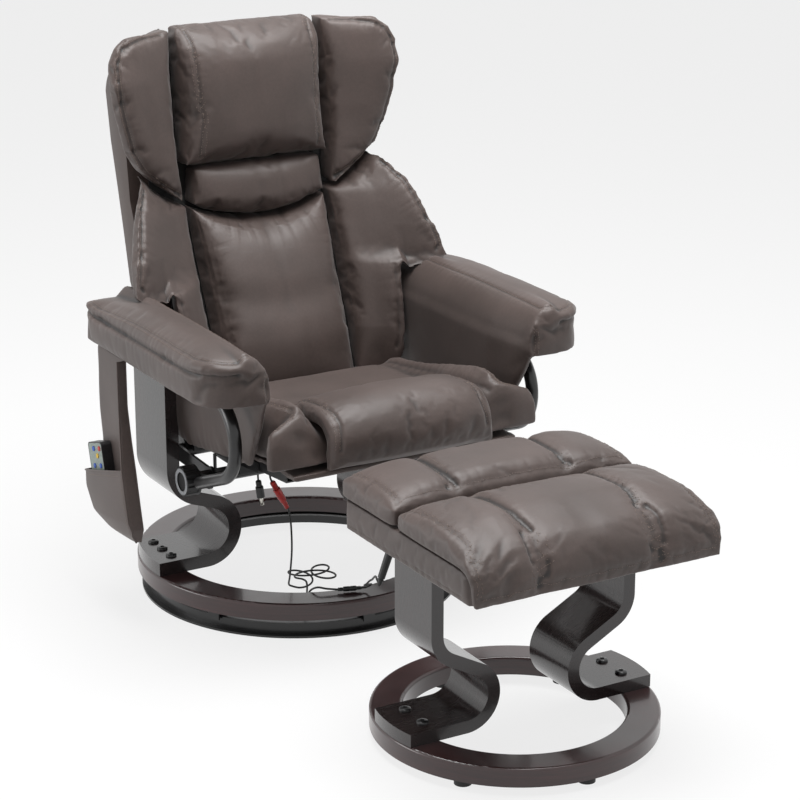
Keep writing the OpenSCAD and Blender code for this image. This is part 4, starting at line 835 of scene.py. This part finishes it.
# Seat cushion with its bolsters
seat = {"voxel": 6, "inset": 4, "cap": 10, "rests": [(0, -0.087, -0.996)], "fill": 0.75,
        "tilt": 5, "y": 20, "z": 315}
# The bolsters in the CAD: from the inner edge to half the width, wider at the nose, tops as [y, height] rows
bolster = {"inner": 163, "half": 230, "nose": 36, "noseY": -385, "noseOver": 18, "length": 420, "innerShare": 0.703,
           "square": 7, "base": 12, "edge": 34,
           "tops": [[-415, 132], [-312, 125], [-208, 106], [-104, 92], [0, 90]],
           # what the stuffing makes of them: full edges, and inner walls that close up to the roll
           "fullEdge": 58, "highest": 0.97, "fadeSide": 0.2, "startY": -60, "startOver": 120, "smoothing": 26,
           "closeBy": 9, "closeX": 166, "closeWide": 18, "closeZ": 15, "closeUp": 30, "closeY": -220,
           "closeOver": 60}


def onSeat(x, y, z):
    a = math.radians(-seat["tilt"])
    return (x, seat["y"] + y * math.cos(a) - z * math.sin(a), seat["z"] + y * math.sin(a) + z * math.cos(a))


pad = softPad("seat_pad", ["seat_cushion"], seat)


# The bolsters are stuffed full to their outer and front edges: the CAD's own height law is swapped for a fuller one
def fillBolsters(piece):
    points = readPoints(piece)
    turn = numpy.array(Matrix.Rotation(math.radians(seat["tilt"]), 3, "X"))
    local = (points / mm - numpy.array([0, seat["y"], seat["z"]])) @ turn.T
    x, y, z = numpy.abs(local[:, 0]), local[:, 1], local[:, 2]
    half = bolster["half"] + bolster["nose"] * numpy.clip((bolster["noseY"] - y) / bolster["noseOver"], 0, 1)
    side = numpy.clip((x - bolster["inner"]) / (half - bolster["inner"]), 0, 1)
    u = bolster["innerShare"] + (1 - bolster["innerShare"]) * side
    v = numpy.clip(1 + 2 * y / bolster["length"], -1, 1)
    base, edge, full = bolster["base"], bolster["edge"], bolster["fullEdge"]
    body = numpy.interp(y, [row[0] for row in bolster["tops"]], [row[1] - base for row in bolster["tops"]])
    swell = numpy.sqrt(numpy.clip((1 - u ** bolster["square"]) * (1 - numpy.abs(v) ** bolster["square"]), 0, 1))
    share = (full + (body - full) * swell) / (edge + (body - edge) * swell)
    blend = numpy.clip(side / bolster["fadeSide"], 0, 1)
    blend *= numpy.clip((bolster["startY"] - y) / bolster["startOver"], 0, 1)
    share = 1 + (share - 1) * blend
    lifted = numpy.minimum(base + (z - base) * share, numpy.maximum(z, base + body * bolster["highest"]))
    local[:, 2] = numpy.where(z > base, lifted, z)
    close = numpy.exp(-((x - bolster["closeX"]) / bolster["closeWide"]) ** 2)
    close *= numpy.clip((z - bolster["closeZ"]) / bolster["closeUp"], 0, 1)
    close *= numpy.clip((bolster["closeY"] - y) / bolster["closeOver"], 0, 1)
    local[:, 0] -= numpy.sign(local[:, 0]) * bolster["closeBy"] * close
    points = (local @ turn + numpy.array([0, seat["y"], seat["z"]])) * mm
    writePoints(piece, points)


fillBolsters(pad)
soften(pad, bolster["smoothing"])
seams = []
for side in (-1, 1):
    seams.append(dict(guide=[onSeat(side * bolster["inner"], y, 96) for y in range(-410, -20, 12)], depth=2, width=5,
                      pucker=1.1, pitch=24, reach=26))
    seams.append(dict(guide=[onSeat(side * x, -414, 122) for x in range(174, 256, 6)], depth=1.5, width=4,
                      pucker=0.8, pitch=16, reach=16, rows=(-3, 3)))
    seams.append(dict(guide=[onSeat(side * 216, y, fromTable(bolster["tops"], y)) for y in range(-400, -20, 12)],
                      depth=1.5, width=4, pucker=0.8, pitch=20, reach=18, rows=(-3, 3)))
wrinkles = [([60, 60, 60], 0.9, 41, None),
            ([26, 90, 60], 0.6, 43, lambda p: numpy.clip((numpy.abs(p[:, 0]) - 165) / 20, 0, 1))]
finishPad(pad, ["seat_cushion"], seams, wrinkles, "seat")

# Raised roll along the front of the seat
roll = {"inset": 3, "cap": 9, "rests": [(0, -0.087, -0.996), (0, 0.996, -0.087)], "fill": 0.8}
pad = softPad("seat_roll", ["seat_front_roll"], roll)
seams = []
for side in (-1, 1):
    path = [onSeat(side * 148, y, z) for y, z in ((-466, 40), (-471, 64), (-469, 92), (-455, 114), (-428, 127),
                                                   (-400, 130), (-370, 129), (-340, 127), (-310, 121), (-290, 112))]
    seams.append(dict(guide=path, depth=2.5, width=4, pucker=1.0, pitch=17, reach=16, rows=(-4, 4)))
seams.append(dict(guide=[onSeat(x, -290, 118) for x in range(-140, 141, 10)], depth=0, pucker=1.2, pitch=28,
                  reach=30))
wrinkles = [([40, 70, 70], 1.0, 47, None)]
finishPad(pad, ["seat_front_roll"], seams, wrinkles, "seat")

# Footstool pads
stoolPad = {"inset": 3.5, "cap": 9, "rests": [(0, 0, -1), (0, 1, 0)], "fill": 0.8,
            "x": -11, "half": 222, "channel": 103, "top": 446, "front": -1006, "low": 352, "crossHalf": 212,
            "nose": [(-1006, 352), (-1010, 375), (-1008, 400), (-998, 425), (-980, 440)]}
nearRest = dict(stoolPad, rests=[(0, 0, -1)])
for name, node, look, ys in (("footstool_cushion_near", "stool_pad_near", nearRest, range(-745, -584, 10)),
                             ("footstool_cushion_far", "stool_pad_far", stoolPad, range(-960, -760, 10))):
    pad = softPad(name, [node], look)
    far = node == "stool_pad_far"
    seams = []
    for side in (-1, 1):
        for x, depth, rowsAt in ((stoolPad["channel"], 4, (-7, 7)), (stoolPad["half"] - 8, 1.5, (-3.5, 3.5))):
            x = stoolPad["x"] + side * x
            line = [(x, y, z) for y, z in stoolPad["nose"] if far] + [(x, y, stoolPad["top"]) for y in ys]
            seams.append(dict(guide=line, depth=depth, width=5, pucker=1.2, pitch=20, reach=20, rows=rowsAt))
    across = [stoolPad["x"] + x for x in range(-stoolPad["crossHalf"], stoolPad["crossHalf"] + 1, 8)]
    innerY = ys[-1] + 4 if far else ys[0] - 2
    outerY, outerZ = (stoolPad["front"], stoolPad["low"]) if far else (ys[-1] + 2, 436)
    seams.append(dict(guide=[(x, innerY, 440) for x in across], depth=0.6, pucker=1.2, pitch=22, reach=26,
                      rows=(0,)))
    seams.append(dict(guide=[(x, outerY, outerZ) for x in across], depth=0.8, pucker=0.9, pitch=20, reach=18,
                      rows=(0,)))
    wrinkles = [([70, 60, 60], 1.0, 52, None), ([30, 80, 60], 0.7, 54, None)]
    finishPad(pad, [node], seams, wrinkles, "stand")

# Footstool board, wrapped in leather
wrap = {"inset": 1, "cap": 3, "rests": [(0, 0, 1), (0, 0, -1)], "fill": 0.9, "soften": 3,
        "x": -11, "y": -780, "halfX": 222, "halfY": 188}
pad = softPad("footstool_band", ["stool_board"], wrap)
corners = [(wrap["x"] + sx * wrap["halfX"], wrap["y"] + sy * wrap["halfY"]) for sx in (-1, 1) for sy in (-1, 1)]
seams = [dict(guide=[(x, y, z) for z in range(340, 384, 4)], depth=1.5, width=3, pucker=0.4, pitch=14, reach=10)
         for x, y in corners]
for side in (-1, 1):
    seams.append(dict(guide=[(wrap["x"] + side * (wrap["halfX"] + 2), y, 344) for y in range(-960, -600, 10)],
                      depth=0.8, width=3, pucker=0.4, pitch=16, reach=12, rows=(0,)))
wrinkles = [([70, 70, 50], 0.4, 57, None)]
finishPad(pad, ["stool_board"], seams, wrinkles, "stand")

# Seat board, wrapped in leather that comes forward below the cushion
seatWrap = {"voxel": 4, "inset": 1, "cap": 2, "rests": [(0, 0, 1), (0, 0, -1)], "fill": 0.9, "soften": 2,
            "frontY": -345, "over": 20, "bring": 26, "drop": 5}
pad = softPad("seat_board_cover", ["seat_board"], seatWrap)
points = readPoints(pad)
ahead = numpy.clip((seatWrap["frontY"] * mm - points[:, 1]) / (seatWrap["over"] * mm), 0, 1)
points[:, 1] -= ahead * seatWrap["bring"] * mm
points[:, 2] -= ahead * seatWrap["drop"] * mm
writePoints(pad, points)
wrinkles = [([80, 60, 40], 0.6, 61, None)]
finishPad(pad, ["seat_board"], [], wrinkles, "seat")


# Sheets: a grid of points with a wall behind it
def sheetPiece(name, rows, wall, body, material):
    across = len(rows[0])
    mesh = bpy.data.meshes.new(name)
    faces = [(j * across + i, j * across + i + 1, (j + 1) * across + i + 1, (j + 1) * across + i)
             for j in range(len(rows) - 1) for i in range(across - 1)]
    mesh.from_pydata([Vector(p) * mm for row in rows for p in row], [], faces)
    piece = meshPiece(name, mesh)
    skin = piece.modifiers.new("wall", "SOLIDIFY")
    skin.thickness = wall * mm
    skin.offset = 0
    finer = piece.modifiers.new("finer", "SUBSURF")
    finer.levels = finer.render_levels = 1
    applyModifiers(piece)
    shape = bmesh.new()
    shape.from_mesh(piece.data)
    bmesh.ops.recalc_face_normals(shape, faces=shape.faces)
    shape.to_mesh(piece.data)
    shape.free()
    return finishPiece(piece, body, material)


def pipingPiece(name, path, diameter, body, material=None):
    piece = leadCurve(name, path, diameter * mm)
    makeActive(piece)
    bpy.ops.object.convert(target="MESH")
    return finishPiece(piece, body, material or leather)


def shareRow(table, share):
    return [fromTable([(row[0], row[k]) for row in table], share) for k in range(1, len(table[0]))]


# Pouch: a strap under the arm, a gusset down its front and a pocket that narrows to the bottom
pouch = {"inner": -355.5, "wall": 2.4, "rows": 24, "cols": 18, "piping": 3.0,
         # share of the way down, then front to back place and height
         "strapRear": [[0, 77, 483], [0.36, 78, 365], [0.6, 68, 308], [1, 96, 247]],
         "strapFront": [[0, -41, 483], [0.4, -41, 400], [0.7, -54, 340], [1, -67, 293]],
         "pocketRear": [[0, 96, 247], [0.2, 96, 220], [0.6, 66, 183], [0.85, 6, 166], [1, -62, 162]],
         "pocketFront": [[0, -67, 293], [0.4, -83, 225], [0.75, -92, 190], [1, -80, 163]],
         # share of the way down, then depth
         "strapDeep": [[0, 15], [0.4, 15], [0.7, 20], [1, 25]],
         "pocketDeep": [[0, 25], [0.6, 25], [0.85, 18], [1, 8]],
         "bulge": 5, "folds": 0.7, "hem": 3.6, "outside": -420}


def pouchLevel(t):
    part, share = ("strap", t) if t <= 1 else ("pocket", t - 1)
    rearY, rearZ = shareRow(pouch[part + "Rear"], share)
    frontY, frontZ = shareRow(pouch[part + "Front"], share)
    deep, = shareRow(pouch[part + "Deep"], share)
    return rearY, rearZ, frontY, frontZ, pouch["inner"] - deep


levels = [k / pouch["rows"] for k in range(2 * pouch["rows"] + 1)]
strapRows, gussetRows, pocketRows, frontEdge = [], [], [], []
for t in levels:
    rearY, rearZ, frontY, frontZ, outer = pouchLevel(t)
    strapRows.append([(pouch["inner"], rearY + (frontY - rearY) * k / 12, rearZ + (frontZ - rearZ) * k / 12)
                      for k in range(13)])
    gussetRows.append([(pouch["inner"] + (outer - pouch["inner"]) * k / 5, frontY, frontZ) for k in range(6)])
    frontEdge.append(Vector((outer - 0.5, frontY - 0.5, frontZ)) * mm)
    if t < 1:
        continue
    row = [(pouch["inner"] + (outer - pouch["inner"]) * k / 4, rearY, rearZ) for k in range(4)]
    for k in range(pouch["cols"] + 1):
        share = k / pouch["cols"]
        swell = pouch["bulge"] * math.sin(math.pi * share) * math.sin(math.pi * min(1, 0.25 + (t - 1) * 0.75))
        row.append((outer - swell, rearY + (frontY - rearY) * share, rearZ + (frontZ - rearZ) * share))
    pocketRows.append(row)
mouthEdge = [Vector(point) * mm for point in pocketRows[0]]
grids = {"pouch_strap": strapRows, "pouch_gusset": gussetRows, "pouch_pocket": pocketRows}
sheets = [sheetPiece(name, rows, pouch["wall"], "chair_base", leather) for name, rows in grids.items()]
for sheet in sheets:
    points = readPoints(sheet)
    folds = softNoise(points, [40, 50, 40], 71)
    writePoints(sheet, points + numpy.array([1, 0, 0]) * folds[:, None] * pouch["folds"] * mm)
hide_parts("pouch")
pipingPiece("pouch_front_piping", frontEdge, pouch["piping"], "chair_base")
pipingPiece("pouch_inner_piping", [Vector((pouch["inner"], row[0][1] - 0.5, row[0][2])) * mm for row in gussetRows],
            pouch["piping"], "chair_base")
pipingPiece("pouch_mouth_hem", mouthEdge, pouch["hem"], "chair_base")
intoPouch = (1, 0, 0)
hemRow = [(pouch["outside"], point[1], point[2] - 8) for point in pocketRows[0][6:-1]]
edgeRow = [(pouch["outside"], pouchLevel(t)[2] + 7, pouchLevel(t)[3]) for t in levels if t > 1.06][:-3]
sewStitches("pouch_stitches", sheets[2], [(hemRow, intoPouch, 0), (edgeRow, intoPouch, 0)], "chair_base")
strapLine = [(pouch["outside"], pouchLevel(t)[2] + 8, pouchLevel(t)[3]) for t in levels if t < 0.95]
sewStitches("strap_stitches", sheets[0], [(strapLine, intoPouch, 0)], "chair_base")
bpy.data.objects.remove(stitchShape)

# Cover of the back shell: its edges softened, with a welt down its middle and one across
cover = {"bevel": 4, "welt": 3.4, "low": 406, "top": 985, "boardDeep": 12, "ridge": 470,
         "depths": [[0, 0.5], [0.06, 0.95], [0.25, 1.15], [0.4, 0.85], [0.54, 0.7], [0.68, 0.92], [0.83, 1],
                    [0.93, 0.6], [1, 0.3]], "deep": 58}
shell = copyOfNodes("shell_cover", ["back_shell"])
bevel = shell.modifiers.new("edges", "BEVEL")
bevel.width = cover["bevel"] * mm
bevel.segments = 3
bevel.angle_limit = math.radians(40)
applyModifiers(shell)
finishPiece(shell, "backrest", coverLeather, 35)
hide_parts("back_shell")


def shellBack(z):
    share = (z - cover["low"]) / (cover["top"] - cover["low"])
    return -cover["deep"] * fromTable(cover["depths"], share) - cover["boardDeep"]


centreLine = [Vector(onBoard(0, z, shellBack(z))) * mm for z in range(412, 980, 8)]
pipingPiece("shell_centre_welt", centreLine, cover["welt"], "backrest", coverLeather)
crossLine = [Vector(onBoard(x, cover["ridge"], shellBack(cover["ridge"]))) * mm for x in range(-225, 226, 15)]
pipingPiece("shell_cross_welt", crossLine, cover["welt"], "backrest", coverLeather)

# Printed rings on the tension knobs
knob = {"inner": 307.3, "outer": 320, "y": -152, "z": 288,
        "ring": [(16.8, -2), (16.8, 0.4), (17.6, 0.9), (22.6, 0.9), (23.2, 0.3), (23.2, -1)]}
for side, word in ((-1, "right"), (1, "left")):
    start, end = ((side * knob[at], knob["y"], knob["z"]) for at in ("inner", "outer"))
    ring = turnedPiece(f"knob_ring_{word}", knob["ring"], start, end, 48)
    finishPiece(ring, f"{word}_knob", knobGrey, 30)

# Domed caps over the bolts through the legs' feet
bolt = {"dome": [(9.6, -2.9), (9.8, -0.5), (9.2, 0.6), (7.4, 1.5), (4, 2), (3.6, 1.8), (3.4, -0.8), (0, -0.8)],
        "up": 2.8}
bolts = [(side * 262, 38 + row * 38, 91.5, "chair_base") for side in (-1, 1) for row in (-1, 0, 1)]
bolts += [(-11 + side * 187, -753 + row * 27, 68, "stand") for side in (-1, 1) for row in (-1, 1)]
for number, (x, y, z, body) in enumerate(bolts):
    cap = turnedPiece(f"bolt_cap_{number + 1}", bolt["dome"], (x, y, z + bolt["up"]), (x, y, z + 12), 32)
    finishPiece(cap, body, powderCoat, 35)
print("hard trim made")

# Materials of the CAD nodes that stay in view. The others lie under a soft piece and get the leather
nodeLooks = [
    (powderCoat, ["track_ring", "inner_race", "frame_screws", "leg_plates", "side_hoops", "cross_tubes",
                  "seat_guides", "seat_frame", "recline_pins", "stool_screws"]),
    (ballSteel, ["ball_cage"]),
    (ringWood, ["base_ring", "stool_ring"]),
    (legWood, ["leg_left", "leg_right", "stool_leg_left", "stool_leg_right"]),
    (dustCloth, ["back_frame"]),
    (blackAbs, ["control_box", "knob_left", "knob_right", "seat_motors", "back_motors", "stool_motor",
                "remote_shell"]),
    (greyFace, ["remote_face"]),
    (blueButton, ["power_button", "speed_button", "mode_button"]),
    (redButton, ["heat_button"]),
    (yellowButton, ["zone_button"]),
    (blackRubber, ["stool_feet"]),
    (blackPvc, ["stool_plug", "dc_lead"]),
]
materialOf = {name: material for material, names in nodeLooks for name in names}
for name, node in cadNodes.items():
    node.data.materials.clear()
    node.data.materials.append(materialOf.get(name, leather))
print("CAD nodes painted")

# Floor, light and background
studio = {"floor": "#e8e8e8", "floorSize": 14, "glowShare": 0.8, "worldLight": 0.22,
          # name, place, aim, size, power
          "lamps": [("key_softbox", (-3.0, 0.9, 0.9), (0, -0.2, 0.5), (1.6, 1.2), 30),
                    ("fill_softbox", (2.4, -2.2, 1.6), (0, -0.2, 0.5), (1.8, 1.8), 3),
                    ("top_softbox", (0.1, -0.5, 3.2), (0, -0.3, 0.5), (2.2, 2.2), 140)]}


# White where the camera sees the backdrop, straight or in a gloss or a glass
def backdropRays(tree):
    seen = addNode(tree, "ShaderNodeLightPath")
    straight = addNode(tree, "ShaderNodeMath", {"operation": "MAXIMUM"},
                       {0: seen.outputs["Is Camera Ray"], 1: seen.outputs["Is Glossy Ray"]})
    return addNode(tree, "ShaderNodeMath", {"operation": "MAXIMUM"},
                   {0: straight.outputs[0], 1: seen.outputs["Is Transmission Ray"]}).outputs[0]


bpy.ops.mesh.primitive_grid_add(x_subdivisions=4, y_subdivisions=4, size=studio["floorSize"], location=(0, 0, 0))
floor = bpy.context.object
floor.name = "studio_floor"
floor.data.transform(floor.matrix_world)
floor.matrix_world = Matrix.Identity(4)
paper = bpy.data.materials.new("whiteStudioPaper")
paper.use_nodes = True
tree = paper.node_tree
paperShader = tree.nodes["Principled BSDF"]
paperShader.inputs["Base Color"].default_value = linear(studio["floor"])
paperShader.inputs["Roughness"].default_value = 0.9
share = addNode(tree, "ShaderNodeMath", {"operation": "MULTIPLY", 1: studio["glowShare"]}, {0: backdropRays(tree)})
glow = addNode(tree, "ShaderNodeEmission", {"Color": (1, 1, 1, 1), "Strength": 1.0})
both = addNode(tree, "ShaderNodeMixShader", {}, {0: share.outputs[0], 1: paperShader.outputs[0],
                                                2: glow.outputs[0]})
tree.links.new(both.outputs[0], tree.nodes["Material Output"].inputs["Surface"])
floor.data.materials.append(paper)

world = bpy.data.worlds.new("studio")
scene.world = world
world.use_nodes = True
tree = world.node_tree
back = tree.nodes["Background"]
back.inputs["Color"].default_value = (1, 1, 1, 1)
back.inputs["Strength"].default_value = studio["worldLight"]
white = addNode(tree, "ShaderNodeBackground", {"Color": (1, 1, 1, 1), "Strength": 1.0})
both = addNode(tree, "ShaderNodeMixShader", {}, {0: backdropRays(tree), 1: back.outputs[0],
                                                2: white.outputs[0]})
tree.links.new(both.outputs[0], tree.nodes["World Output"].inputs["Surface"])

for name, place, aim, size, power in studio["lamps"]:
    bpy.ops.object.light_add(type="AREA", location=place)
    lamp = bpy.context.object
    lamp.name = name
    lamp.data.shape = "RECTANGLE"
    lamp.data.size, lamp.data.size_y = size
    lamp.data.energy = power
    lamp.rotation_euler = (Vector(aim) - Vector(place)).to_track_quat("-Z", "Y").to_euler()
scene.view_settings.view_transform = "Standard"
print("studio lit")
